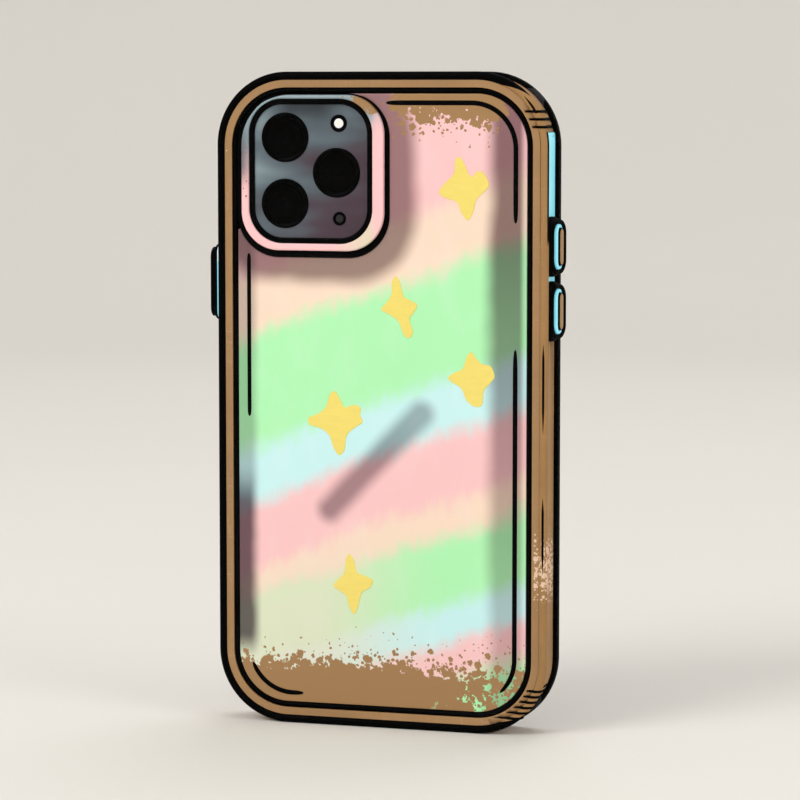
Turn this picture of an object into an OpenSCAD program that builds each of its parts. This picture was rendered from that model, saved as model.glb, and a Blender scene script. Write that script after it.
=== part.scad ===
// Bumper phone case with a clear printed back, a glazed camera corner and three sprung side buttons.
// It stands on its bottom edge: X is the width, Z the height, and the back panel faces -Y.
// Cross-sections use u, the distance inward from the body's outline, and d, the depth from the back face.

/* [Case] */
// Width of the body, inside the rails
case_w = 77.6; // [76.6:0.2:80]
// Height of the body, inside the rails
case_h = 149.8; // [148.8:0.2:154]
// Depth from the back face to the front lip
case_t = 12; // [11.8:0.1:13]
// Radius of the body's corners, seen from the back
corner_r = 16; // [15.6:0.1:17]

/* [Walls] */
// How far the black rails stand out from the body
rail_out = 0.9; // [0.85:0.01:0.95]
// How far the tan side walls sit inside the body's outline
wall_inset = 0.15; // [0.1:0.01:0.2]
// Radius of the black piping on the back edge
piping_r = 1; // [0.98:0.01:1.02]
// Inward distance of the joint between bumper and tray
wall_joint = 1.8; // [1.75:0.01:1.85]
// Inward distance of the phone cavity's wall
cavity_u = 2.95; // [2.9:0.01:3.05]
// Width of the bumper's flange on the back
flange_w = 2.7; // [2.65:0.01:2.75]
// Width of the black bead between flange and back panel
bead_w = 1.4; // [1.35:0.01:1.45]
// Inward reach of the front lip
lip_u = 3.9; // [3.8:0.01:4]
// Depth at which the black front rail starts
rail_d = 9.6; // [9.55:0.01:9.7]

/* [Back] */
// Depth of the clear panel's outer face
panel_d0 = 0.2; // [0.2:0.01:0.3]
// Depth of the clear panel's inner face
panel_d1 = 1.6; // [1.55:0.01:1.6]
// Depth of the printed film's inner face
film_d1 = 1.75; // [1.72:0.01:1.8]
// Depth of the tray's floor
floor_d = 2.2; // [2.15:0.01:2.3]
// Height of the raised seat over the floor
seat_rise = 0.2; // [0.15:0.01:0.25]
// Width of the raised seat
seat_w = 68; // [66:0.5:68.5]
// Height of the raised seat
seat_h = 140; // [138:0.5:140.5]

/* [Camera] */
// Width of the camera opening in the panel
cam_w = 36.8; // [36.4:0.05:37.4]
// Height of the camera opening in the panel
cam_h = 37.6; // [37.2:0.05:38.2]
// How far the clear guard stands proud of the back face
guard_h = 1.2; // [1:0.05:1.3]
// How far the black bezel stands proud of the back face
bezel_h = 0.9; // [0.8:0.05:0.95]
// Radius of each lens ring
lens_r = 5.7; // [5.5:0.05:5.9]
// Radius of each lens window
lens_window_r = 4.7; // [4.5:0.05:4.9]

/* [Buttons] */
// Depth of the buttons' centre line
button_d = 5.6; // [5.55:0.01:5.65]
// Width of a button cap
cap_w = 5.2; // [5:0.05:5.2]
// Length of a volume button cap
volume_len = 10.3; // [9.8:0.1:10.6]
// Length of the power button cap
power_len = 18; // [15:0.1:18.4]
// Height of the volume up button's centre
volume_up_z = 111.1; // [110.9:0.1:112]
// Height of the volume down button's centre
volume_down_z = 96.4; // [96.2:0.1:96.6]
// Height of the power button's centre
power_z = 101.8; // [98:0.1:106]
// How far a volume pad stands out of the body
button_proud = 2.8; // [2.7:0.05:2.85]
// How far the power pad stands out of the body
power_proud = 3.9; // [3.3:0.1:4]
// Running gap round a cap
cap_gap = 0.2; // [0.15:0.01:0.2]
// Wall of the collar round a cap
collar_wall = 1; // [0.9:0.05:1]

/* [Ports] */
// Width of the charging port opening
port_w = 13; // [11:0.1:14]
// Depth of the charging port opening
port_t = 6; // [5.6:0.1:6.1]
// Length of each speaker slot
speaker_len = 11; // [8:0.1:11.5]
// Width of each speaker slot
speaker_t = 2.6; // [2:0.1:3]

/* [Hidden] */
$fn = 64;
y_back = (guard_h - case_t) / 2;
bead_u = flange_w + bead_w;
seat_d = floor_d + seat_rise;
lip_t = 1.4;
rail_round = 0.6;
piping_u = piping_r - rail_out;
piping_d = piping_r / 2;
overlap = 0.6;

// The camera opening touches the bead's inner outline on its top and left sides.
cam_r = 10;
cam_x = -case_w / 2 + bead_u + cam_w / 2;
cam_z = case_h - bead_u - cam_h / 2;
// Seal widths round the guard: left, right, bottom, top.
seal = [1.3, 1.05, 1.55, 0.3];
// Guard widths round the bezel: left, right, bottom, top.
guard = [1.85, 2.7, 1.65, 0.9];
bezel_w = 1.3;
bezel_ledge = 0.8;
glass_d0 = -0.4;
glass_d1 = 0.6;
ledge_d1 = 1.2;

// Lens centres from the camera glass's centre.
LENSES = [[-6.25, 7.75], [6.2, -0.3], [-6.3, -7.45]];
flash_at = [6.75, 11];
flash_r = 2;
flash_window_r = 1.1;
mic_at = [6.9, -10.8];
mic_r = 1.6;
mic_mesh_r = 0.9;
lens_ring_d0 = -0.75;
lens_window_d0 = -0.5;

// Button heights outward of the body; the travel stays clear of the tray wall.
rim_w = 0.85;
flange_w2 = 0.5;
flange_p0 = -1.35;
flange_p1 = -1.1;
cap_top = button_proud - 0.5;
core_top = button_proud - 0.3;
collar_near = 1.5;
collar_far = button_proud + 0.1;
collar_step = 0.9;
collar_p0 = -1;
shoulder = 0.5;
pad_gap = 0.6;
stem_w = 2.4;
stem_tip = -(cavity_u - 0.05);
stem_gap = 0.5;

// The light inlay on the volume side.
inlay_z0 = 89.6;
inlay_z1 = 136.9;
inlay_w = 7.9;
inlay_depth = 0.85;

// Cushions inside the bumper's corners, as depth span, thickness and arc.
cushion_d0 = 2.6;
cushion_d1 = 8.6;
cushion_t = 0.9;
cushion_arc = 52;

// Heights of the grip ribs on the volume side's corners, and a rib's thickness.
RIBS_TOP = [for (i = [0 : 2]) 138.2 + 1.75 * i];
RIBS_BOTTOM = [for (i = [0 : 5]) 3.2 + 1.3 * i];
rib_t = 0.6;
rib_depth = 0.5;
rib_back_w = 1.5;
rib_back_t = 0.4;

// Each star: centre, then its top, left, bottom and right tips from the centre.
STARS = [
  [[20.1, 124.2], [[-1.3, 7.2], [-6.1, -1.3], [0.8, -7.1], [5.6, 0.7]]],
  [[4.9, 96.9], [[-1.2, 7.1], [-4.8, -0.7], [1.7, -7.0], [3.9, 0.5]]],
  [[21.7, 80.7], [[0, 6.3], [-5.6, 0], [0.8, -6.1], [5.6, 0.5]]],
  [[-10.9, 70.1], [[-0.2, 7.1], [-6.7, 0.1], [0.8, -7.6], [6.5, 0.5]]],
  [[-6.8, 32.5], [[-0.7, 6.9], [-4.7, -0.7], [0.5, -7.1], [4.9, 1.0]]]
];
star_tip_r = 0.9;
star_waist = 0.62;
star_t = 0.2;

// The raised contour lines follow one rounded rectangle on the panel.
accent_inset = [6.75, 6.2];
accent_w = 1;
accent_r = 10.4;
accent_t = 0.15;

// ---- Outlines and placing ----

// A rounded rectangle round the origin.
module rounded_rect(w, h, r) {
  square([w - 2 * r, h], center = true);
  square([w, h - 2 * r], center = true);
  for (sx = [-1, 1], sy = [-1, 1])
    translate([sx * (w / 2 - r), sy * (h / 2 - r)])
      circle(r);
}

// The body's outline, drawn in by u.
module outline(u) {
  translate([0, case_h / 2])
    rounded_rect(case_w - 2 * u, case_h - 2 * u, corner_r - u);
}

// Raises an outline drawn in X and Z from depth d0 to depth d1.
module slab(d0, d1) {
  translate([0, y_back + d1, 0])
    rotate([90, 0, 0])
      linear_extrude(d1 - d0)
        children();
}

// Turns a cross-section in (u, d) into one in (radius, -d) about a corner's axis.
module about_corner() {
  translate([corner_r, 0])
    rotate(180)
      children();
}

// Carries a cross-section in (u, d) all the way round the case.
module swept() {
  translate([0, y_back, case_h / 2])
    rotate([90, 0, 0])
      for (side = [0 : 3]) {
        half = (side % 2 == 0 ? case_w : case_h) / 2 - corner_r;
        run = (side % 2 == 0 ? case_h : case_w) - 2 * corner_r;
        rotate([0, 0, 90 * side]) {
          translate([half, run / 2, 0])
            rotate([90, 0, 0])
              linear_extrude(run)
                about_corner()
                  children();
          translate([half, run / 2, 0])
            rotate_extrude(angle = 90)
              about_corner()
                children();
        }
      }
}

// Raises an outline drawn in depth and height out of a side wall, from p0 to p1 outward of the body.
module side_prism(side, z, p0, p1) {
  mirror([side < 0 ? 1 : 0, 0, 0])
    translate([case_w / 2 + p0, y_back + button_d, z])
      rotate([90, 0, 90])
        linear_extrude(p1 - p0)
          children();
}

// ---- Shell ----

// The bumper's L-shaped section, with a round groove for the piping.
module bumper_section() {
  difference() {
    union() {
      translate([wall_inset, piping_d])
        square([wall_joint - wall_inset, rail_d - piping_d]);
      translate([piping_r, 0])
        square([flange_w - piping_r, panel_d1]);
    }
    translate([piping_u, piping_d])
      circle(piping_r);
  }
}

// The tray's section: side wall, back bead and front lip.
module tray_section() {
  bead_r = bead_w / 2;
  translate([flange_w + bead_r, bead_r + 0.1])
    circle(bead_r);
  translate([flange_w, bead_r + 0.1])
    square([bead_w, floor_d - bead_r - 0.1]);
  translate([wall_joint, panel_d1])
    square([bead_u - wall_joint, floor_d - panel_d1]);
  translate([wall_joint, panel_d1])
    square([cavity_u - wall_joint, case_t - panel_d1 - lip_t]);
  lip_section();
}

// The front lip, rounded where it is seen.
module lip_section() {
  difference() {
    translate([0, rail_d])
      union() {
        translate([(lip_u - rail_out) / 2, (case_t - rail_d) / 2])
          rounded_rect(lip_u + rail_out, case_t - rail_d, rail_round);
        translate([wall_joint, 0])
          square([cavity_u - wall_joint, rail_round]);
      }
    translate([cavity_u, 0])
      square([corner_r, case_t - lip_t]);
  }
}

// The round openings in the bottom edge, for the plug and the speakers.
module bottom_ports() {
  port_depth = 3 * cavity_u;
  translate([0, y_back + (seat_d + case_t - lip_t) / 2, -cavity_u])
    linear_extrude(port_depth) {
      rounded_rect(port_w, port_t, port_t / 2 - 0.01);
      for (side = [-1, 1])
        translate([side * (port_w + speaker_len) / 2 + side * 4.5, 0])
          rounded_rect(speaker_len, speaker_t, speaker_t / 2 - 0.01);
    }
}

// Calls the children for each button with its side, height and cap length.
module at_buttons(p0, p1, grow_w, grow_len) {
  for (b = [[1, volume_up_z, volume_len], [1, volume_down_z, volume_len], [-1, power_z, power_len]])
    side_prism(b[0], b[1], p0, p1)
      button_outline(cap_w + grow_w, b[2] + grow_len);
}

// A button's outline, nearly a stadium.
module button_outline(w, len) {
  rounded_rect(w, len, w / 2 - 0.3);
}

// The band that the grip ribs are cut from: a strip on the side wall and one on the back.
module rib_section() {
  translate([0, piping_d + piping_r])
    square([rib_depth, rail_d - piping_d - piping_r]);
  translate([piping_u + overlap, -0.1])
    square([rib_back_w, rib_back_t]);
}

// Cuts thin level plates, at the given heights, out of a band carried round the case.
module at_ribs(heights) {
  intersection() {
    swept()
      children();
    for (z = heights)
      translate([case_w / 2 - corner_r, y_back - 1, z - rib_t / 2])
        cube([corner_r + 1, case_t, rib_t]);
  }
}

// One corner cushion; turn 0 is the top right corner and each turn goes a quarter round.
module cushion(turn) {
  color("#3a3a3e")
    cushion_solid(turn, 0);
}

// A cushion's solid; past carries it further inward, to cut its pocket.
module cushion_solid(turn, past) {
  half = [case_w / 2 - corner_r, case_h / 2 - corner_r];
  sx = (turn == 0 || turn == 3) ? 1 : -1;
  sz = (turn == 0 || turn == 1) ? 1 : -1;
  translate([sx * half[0], y_back, case_h / 2 + sz * half[1]])
    rotate([90, 0, 0])
      rotate([0, 0, 90 * turn + 45 - cushion_arc / 2])
        rotate_extrude(angle = cushion_arc)
          translate([corner_r - wall_joint - past, -cushion_d1])
            square([cushion_t + past, cushion_d1 - cushion_d0]);
}

module bumper() {
  color("#a57f54")
    difference() {
      swept()
        bumper_section();
      bottom_ports();
      at_buttons(-corner_r / 4, 1, 2 * (cap_gap + collar_wall), 2 * (cap_gap + collar_wall + shoulder));
      inlay_block();
      at_ribs(concat(RIBS_TOP, RIBS_BOTTOM))
        rib_section();
      for (turn = [0 : 3])
        cushion_solid(turn, overlap);
    }
}

module edge_piping() {
  color("#0b0b0c")
    swept()
      translate([piping_u, piping_d])
        circle(piping_r);
}

// The tray's outline of the camera window, inside the bezel.
module recess_outline() {
  translate([glass_c[0], glass_c[1]])
    rounded_rect(glass_size[0] - 2 * bezel_ledge, glass_size[1] - 2 * bezel_ledge, glass_r - bezel_ledge);
}

module inner_tray() {
  color("#101012")
    difference() {
      union() {
        swept()
          tray_section();
        slab(film_d1, floor_d)
          outline(bead_u - overlap);
        slab(floor_d - overlap / 2, seat_d)
          translate([0, case_h / 2])
            rounded_rect(seat_w, seat_h, corner_r - lip_u);
      }
      slab(0, seat_d + 1)
        recess_outline();
      bottom_ports();
      at_buttons(-2 * cavity_u, 0, stem_w + stem_gap - cap_w, stem_gap - 4);
    }
}

module back_panel() {
  color([0.99, 0.86, 0.84])
    slab(panel_d0, panel_d1)
      difference() {
        outline(bead_u);
        camera_opening();
      }
}

module artwork_film() {
  color("#fde2cc")
    slab(panel_d1, film_d1)
      difference() {
        outline(bead_u);
        camera_opening();
      }
}

// ---- Camera corner ----

// The opening's top left corner follows the bead.
module camera_opening() {
  intersection() {
    translate([cam_x, cam_z])
      rounded_rect(cam_w, cam_h, cam_r);
    outline(bead_u);
  }
}

// The size and centre of an outline that lies inside another by four widths.
function inner_size(size, m) = [size[0] - m[0] - m[1], size[1] - m[2] - m[3]];
function inner_centre(c, m) = [c[0] + (m[0] - m[1]) / 2, c[1] + (m[2] - m[3]) / 2];

guard_size = inner_size([cam_w, cam_h], seal);
guard_c = inner_centre([cam_x, cam_z], seal);
guard_r = cam_r - 1;
bezel_size = inner_size(guard_size, guard);
bezel_c = inner_centre(guard_c, guard);
bezel_r = guard_r - 1;
glass_size = [bezel_size[0] - 2 * bezel_w, bezel_size[1] - 2 * bezel_w];
glass_c = bezel_c;
glass_r = bezel_r - bezel_w;

module guard_outline() {
  intersection() {
    translate(guard_c)
      rounded_rect(guard_size[0], guard_size[1], guard_r);
    outline(bead_u + seal[3]);
  }
}

module bezel_outline() {
  translate(bezel_c)
    rounded_rect(bezel_size[0], bezel_size[1], bezel_r);
}

module glass_outline() {
  translate(glass_c)
    rounded_rect(glass_size[0], glass_size[1], glass_r);
}

module guard_seal() {
  color("#0b0b0c")
    slab(-0.15, film_d1)
      difference() {
        camera_opening();
        guard_outline();
      }
}

module camera_guard() {
  color([0.93, 0.78, 0.78])
    slab(-guard_h, film_d1)
      difference() {
        guard_outline();
        bezel_outline();
      }
}

module camera_bezel() {
  color("#0b0b0c") {
    slab(-bezel_h, film_d1)
      difference() {
        bezel_outline();
        glass_outline();
      }
    slab(glass_d1, ledge_d1)
      difference() {
        bezel_outline();
        recess_outline();
      }
  }
}

// A round piece of the camera, from depth d0 back to the glass's inner face.
module camera_round(at, r, d0) {
  translate([glass_c[0] + at[0], y_back + glass_d1, glass_c[1] + at[1]])
    rotate([90, 0, 0])
      cylinder(h = glass_d1 - d0, r = r);
}

// The same, as a ring.
module camera_ring(at, r, hole_r, d0) {
  difference() {
    camera_round(at, r, d0);
    translate([glass_c[0] + at[0], y_back + glass_d1 + 1, glass_c[1] + at[1]])
      rotate([90, 0, 0])
        cylinder(h = 4, r = hole_r);
  }
}

module camera_glass() {
  color("#5b6872")
    difference() {
      slab(glass_d0, glass_d1)
        glass_outline();
      for (at = LENSES)
        camera_hole(at, lens_r);
      camera_hole(flash_at, flash_r);
      camera_hole(mic_at, mic_r);
    }
}

module camera_hole(at, r) {
  translate([glass_c[0] + at[0], y_back + glass_d1 + 1, glass_c[1] + at[1]])
    rotate([90, 0, 0])
      cylinder(h = 4, r = r);
}

module lens_ring(i) {
  color("#050506")
    camera_ring(LENSES[i], lens_r, lens_window_r, lens_ring_d0);
}

module lens_glass(i) {
  color("#020203")
    camera_round(LENSES[i], lens_window_r, lens_window_d0);
}

module flash_ring() {
  color("#0b0b0c")
    camera_ring(flash_at, flash_r, flash_window_r, -0.55);
}

module flash_diffuser() {
  color("white")
    camera_round(flash_at, flash_window_r, lens_window_d0);
}

module mic_ring() {
  color("#0b0b0c")
    camera_ring(mic_at, mic_r, mic_mesh_r, -0.55);
}

module mic_mesh() {
  color("#1a1a1c")
    camera_round(mic_at, mic_mesh_r, glass_d0);
}

// ---- Side pieces ----

// The inlay's block, without the openings for the buttons.
module inlay_block() {
  side_prism(1, (inlay_z0 + inlay_z1) / 2, -inlay_depth, 0)
    rounded_rect(inlay_w, inlay_z1 - inlay_z0, 1);
}

module side_inlay() {
  color("#a0effb")
    difference() {
      side_prism(1, (inlay_z0 + inlay_z1) / 2, -inlay_depth, -wall_inset / 2)
        rounded_rect(inlay_w, inlay_z1 - inlay_z0, 1);
      at_buttons(-1, 1, 2 * (cap_gap + collar_wall), 2 * (cap_gap + collar_wall + shoulder));
    }
}

// The light cap: a rim with a window for the core, and a flange that the collar holds in.
module button_cap(side, z, len) {
  color("#a0effb")
    difference() {
      union() {
        side_prism(side, z, flange_p1, cap_top)
          button_outline(cap_w, len);
        side_prism(side, z, flange_p0, flange_p1)
          button_outline(cap_w + 2 * flange_w2, len + 2 * flange_w2);
      }
      side_prism(side, z, flange_p0 - 1, cap_top + 1)
        button_outline(cap_w - 2 * rim_w, len - 2 * rim_w);
    }
}

// The black core: its head fills the cap's window and its stem reaches the phone's own button.
module button_plunger(side, z, len, top) {
  color("#101012") {
    side_prism(side, z, flange_p0, top)
      button_outline(cap_w - 2 * rim_w, len - 2 * rim_w);
    side_prism(side, z, stem_tip, flange_p0)
      button_outline(stem_w, len - 4);
  }
}

// A volume button's tan pad.
module button_pad(side, z, len) {
  inset = 2 * (rim_w + pad_gap);
  color("#a57f54")
    side_prism(side, z, core_top, button_proud)
      button_outline(cap_w - inset, len - inset);
}

// The power button's thick black pad covers the whole cap and slopes at its ends.
module power_button_pad(side, z, len) {
  color("#101012")
    hull() {
      side_prism(side, z, cap_top, cap_top + 0.5)
        button_outline(cap_w, len);
      side_prism(side, z, cap_top, power_proud)
        button_outline(cap_w - 0.6, len - 2.4);
    }
}

// The fixed black collar, with a step for its shoulders and a top that rises towards the front.
module button_collar(side, z, len) {
  grow = 2 * (cap_gap + collar_wall);
  color("#0b0b0c")
    intersection() {
      difference() {
        union() {
          side_prism(side, z, collar_p0, collar_step)
            button_outline(cap_w + grow, len + grow + 2 * shoulder);
          side_prism(side, z, collar_step, collar_far + 1)
            button_outline(cap_w + grow - 0.3, len + grow);
        }
        side_prism(side, z, collar_p0 - 1, collar_far + 2)
          button_outline(cap_w + 2 * cap_gap, len + 2 * cap_gap);
      }
      collar_wedge(side, z, len, (cap_w + grow) / 2);
    }
}

// The room under the collar's slanting top.
module collar_wedge(side, z, len, half) {
  mirror([side < 0 ? 1 : 0, 0, 0])
    translate([case_w / 2, y_back + button_d, z - len])
      linear_extrude(2 * len)
        polygon([[2 * collar_p0, -half], [collar_near, -half], [collar_far, half], [2 * collar_p0, half]]);
}

// The ribs meet the piping's round side.
module grip_ribs(heights) {
  color("#0b0b0c")
    at_ribs(heights)
      difference() {
        rib_section();
        translate([piping_u, piping_d])
          circle(piping_r);
      }
}

// ---- Decoration on the panel ----

// A quadratic curve from a to b, pulled towards c.
function curve(a, c, b, n) = [for (i = [0 : n]) let (t = i / n)
  (1 - t) * (1 - t) * a + 2 * t * (1 - t) * c + t * t * b];

// The edge from one tip's round to the next tip's, hollow towards the centre.
function star_side(a, b) =
  let (na = a / norm(a), nb = b / norm(b), half = 0.9 * star_tip_r,
       start = a - 0.2 * na + half * [-na[1], na[0]],
       end = b - 0.2 * nb + half * [nb[1], -nb[0]])
  curve(start, star_waist * (a + b) / 2, end, 8);

module star(i) {
  tips = STARS[i][1];
  color("#f8e674")
    slab(panel_d0 - star_t, panel_d0)
      translate(STARS[i][0]) {
        polygon([for (k = [0 : 3]) each star_side(tips[k], tips[(k + 1) % 4])]);
        for (tip = tips)
          translate(tip)
            circle(star_tip_r);
      }
}

// A stretch of the contour line, inside the box from corner a to corner b.
module accent(a, b) {
  color("#0b0b0c")
    slab(panel_d0 - accent_t, panel_d0)
      intersection() {
        difference() {
          accent_outline(-accent_w / 2);
          accent_outline(accent_w / 2);
        }
        translate(a)
          square(b - a);
      }
}

module accent_outline(inset) {
  translate([0, case_h / 2])
    rounded_rect(case_w - 2 * (accent_inset[0] + inset), case_h - 2 * (accent_inset[1] + inset), accent_r - inset);
}

// Everything stands on the rails, at height 0.
translate([0, 0, rail_out]) {
  bumper();
  edge_piping();
  inner_tray();
  back_panel();
  artwork_film();
  guard_seal();
  camera_guard();
  camera_bezel();
  camera_glass();
  lens_ring(0);  // lens_ring_1
  lens_ring(1);  // lens_ring_2
  lens_ring(2);  // lens_ring_3
  lens_glass(0);  // lens_glass_1
  lens_glass(1);  // lens_glass_2
  lens_glass(2);  // lens_glass_3
  flash_ring();
  flash_diffuser();
  mic_ring();
  mic_mesh();
  side_inlay();
  button_cap(-1, power_z, power_len);  // power_cap
  power_button_pad(-1, power_z, power_len);  // power_pad
  button_plunger(-1, power_z, power_len, cap_top);  // power_plunger
  button_collar(-1, power_z, power_len);  // power_collar
  button_cap(1, volume_up_z, volume_len);  // volume_up_cap
  button_pad(1, volume_up_z, volume_len);  // volume_up_pad
  button_plunger(1, volume_up_z, volume_len, core_top);  // volume_up_plunger
  button_collar(1, volume_up_z, volume_len);  // volume_up_collar
  button_cap(1, volume_down_z, volume_len);  // volume_down_cap
  button_pad(1, volume_down_z, volume_len);  // volume_down_pad
  button_plunger(1, volume_down_z, volume_len, core_top);  // volume_down_plunger
  button_collar(1, volume_down_z, volume_len);  // volume_down_collar
  cushion(0);  // cushion_top_right
  cushion(1);  // cushion_top_left
  cushion(2);  // cushion_bottom_left
  cushion(3);  // cushion_bottom_right
  grip_ribs(RIBS_TOP);  // grip_ribs_top
  grip_ribs(RIBS_BOTTOM);  // grip_ribs_bottom
  star(0);  // star_1
  star(1);  // star_2
  star(2);  // star_3
  star(3);  // star_4
  star(4);  // star_5
  accent([1.2, 116.4], [case_w / 2, case_h]);  // accent_top_right
  accent([28.5, 0], [case_w / 2, 88]);  // accent_right
  accent([-case_w / 2, 70.8], [0, 109]);  // accent_left
  accent([-case_w / 2, 0], [-18.9, 13]);  // accent_bottom_left
}
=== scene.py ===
import functools
import math
import bmesh
import bpy
import numpy as np
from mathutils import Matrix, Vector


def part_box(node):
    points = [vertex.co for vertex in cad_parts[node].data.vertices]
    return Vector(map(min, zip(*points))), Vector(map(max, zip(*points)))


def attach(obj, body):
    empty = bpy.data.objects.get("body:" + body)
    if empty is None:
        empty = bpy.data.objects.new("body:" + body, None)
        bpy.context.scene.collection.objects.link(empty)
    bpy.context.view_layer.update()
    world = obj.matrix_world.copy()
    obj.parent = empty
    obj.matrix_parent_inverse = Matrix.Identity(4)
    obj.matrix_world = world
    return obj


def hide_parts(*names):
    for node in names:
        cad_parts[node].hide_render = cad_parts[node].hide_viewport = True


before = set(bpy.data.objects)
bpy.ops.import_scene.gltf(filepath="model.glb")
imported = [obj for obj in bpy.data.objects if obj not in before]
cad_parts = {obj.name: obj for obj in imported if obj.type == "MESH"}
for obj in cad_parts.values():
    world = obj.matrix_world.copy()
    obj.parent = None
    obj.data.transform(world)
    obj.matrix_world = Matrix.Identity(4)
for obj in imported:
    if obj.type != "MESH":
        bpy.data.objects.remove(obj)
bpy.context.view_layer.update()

bl_info = {
    "name": "Printed Bumper Case",
    "version": (1, 0, 0),
    "blender": (4, 5, 0),
    "location": "View3D > Sidebar > Bumper Case",
    "description": "Builds the looks of a bumper case for a slim phone on its packed frame",
    "category": "Object",
}

MM = 0.001


# ---- Places taken from the frame ----

def extent(node):
    """A node's lowest and highest corner as two arrays."""
    lo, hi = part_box(node)
    return np.array(lo), np.array(hi)


def centre_of(node):
    lo, hi = extent(node)
    return (lo + hi) / 2


def depths(node):
    """A node's front and rear as depths from the back face."""
    lo, hi = extent(node)
    return lo[1] - BACK, hi[1] - BACK


BODY_LO, BODY_HI = extent("bumper")
BUMPER_INSET = 0.15 * MM  # the bumper lies this far inside the body's outline
HALF_WIDTH = BODY_HI[0] + BUMPER_INSET
FOOT = BODY_LO[2] - BUMPER_INSET
HEAD = BODY_HI[2] + BUMPER_INSET
BACK = BODY_LO[1]
BUTTON_SIDES = {"power": -1, "volume_up": 1, "volume_down": 1}
CAP_FLANGE = 0.5 * MM  # how far a cap's hidden flange reaches past its face
WELD = 2e-7  # points nearer than this are one point


def srgb(code):
    """A colour code as linear red, green, blue and alpha."""
    c = np.array([int(code[i:i + 2], 16) for i in (1, 3, 5)]) / 255.0
    lin = np.where(c <= 0.04045, c / 12.92, ((c + 0.055) / 1.055) ** 2.4)
    return (float(lin[0]), float(lin[1]), float(lin[2]), 1.0)


# ---- Settings ----

def length(label, text, value):
    return bpy.props.FloatProperty(name=label, description=text, default=value * MM, min=0.0,
                                   precision=5, unit="LENGTH")


def number(label, text, value, unit="NONE"):
    return bpy.props.FloatProperty(name=label, description=text, default=value, unit=unit)


def tint(label, text, code):
    return bpy.props.FloatVectorProperty(name=label, description=text, default=srgb(code), size=4,
                                         min=0.0, max=1.0, subtype="COLOR")


class CaseSizes(bpy.types.PropertyGroup):
    corner: length("Corner radius", "Radius of the case's outer corners", 16.0)
    bead: length("Bead line", "From the body's outline to the panel", 4.1)
    panel_edge: length("Panel edge", "Rounding of the clear panel's edge", 0.22)
    opening_corner: length("Opening corner", "Corner radius of the camera opening", 10.0)
    guard_corner: length("Guard corner", "Outer corner radius of the camera guard", 9.0)
    guard_edge: length("Guard edge", "Rounding of the camera guard's two edges", 0.42)
    bezel_corner: length("Bezel corner", "Outer corner radius of the black bezel", 8.0)
    bezel_width: length("Bezel width", "Width of the black bezel", 1.3)
    bezel_ledge: length("Bezel ledge", "Ledge behind the cover glass", 0.8)
    lens_edge: length("Lens edge", "Rounding of the lens rings", 0.25)
    button_width: length("Button width", "Width of each button cap", 5.2)
    button_rim: length("Cap rim", "Width of the cap's light rim", 0.85)
    button_gap: length("Cap gap", "Gap between cap and collar", 0.2)
    shoulder: length("Shoulder", "Length of the collar's sloping shoulders", 0.5)
    line_width: length("Line width", "Widest part of the raised contour lines", 1.12)


class CaseFinish(bpy.types.PropertyGroup):
    tan: tint("Tan", "Colour of the bumper and of the splatter", "#a57f54")
    tan_pale: tint("Pale scuff", "Colour of scuffs on the tan", "#e9c9ae")
    black: tint("Black", "Colour of rails, bead and raised lines", "#020202")
    blue: tint("Blue", "Colour of the inlay and the button caps", "#a2f1fc")
    pink: tint("Pink", "Pink of the artwork", "#fecbcd")
    peach: tint("Peach", "Peach of the artwork", "#fde2cc")
    green: tint("Green", "Green of the artwork", "#b4fbbc")
    pale_blue: tint("Pale blue", "Pale blue of the artwork", "#cdf8fa")
    cream: tint("Cream", "Cream of the artwork", "#ebe6cf")
    star: tint("Star", "Colour of the stars", "#f8e272")
    slate: tint("Slate", "Middle colour of the smoked glass", "#66757f")
    plum: tint("Plum", "Dark colour of the smoked glass", "#4a3944")
    # Pale colour of the painted reflections on the smoked glass.
    reflection_pale: tint("Frost", "Light colour of the smoked glass", "#8fa3a8")
    floor: tint("Floor", "Colour of the floor and backdrop", "#efece6")


class CaseStage(bpy.types.PropertyGroup):
    key: number("Key", "Power of the main soft light", 11.8, "POWER")
    fill: number("Fill", "Power of the side light", 5.4, "POWER")
    top: number("Top", "Power of the overhead light", 6.0, "POWER")
    ambient: number("Ambient", "Strength of the even light", 0.53)
    lens: number("Lens", "Focal length of the camera", 148.1, "CAMERA")
    camera: bpy.props.FloatVectorProperty(name="Camera", description="Place of the camera", unit="LENGTH",
                                          default=(0.2293, -0.7229, 0.1483), subtype="TRANSLATION")
    turn: number("Turn", "Camera's turn about the vertical", math.radians(17.38), "ROTATION")
    tilt: number("Tilt", "Camera's tilt below level", math.radians(5.45), "ROTATION")


def sizes():
    return bpy.context.scene.case_sizes


def finish():
    return bpy.context.scene.case_finish


# ---- Curves and surfaces ----

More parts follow.
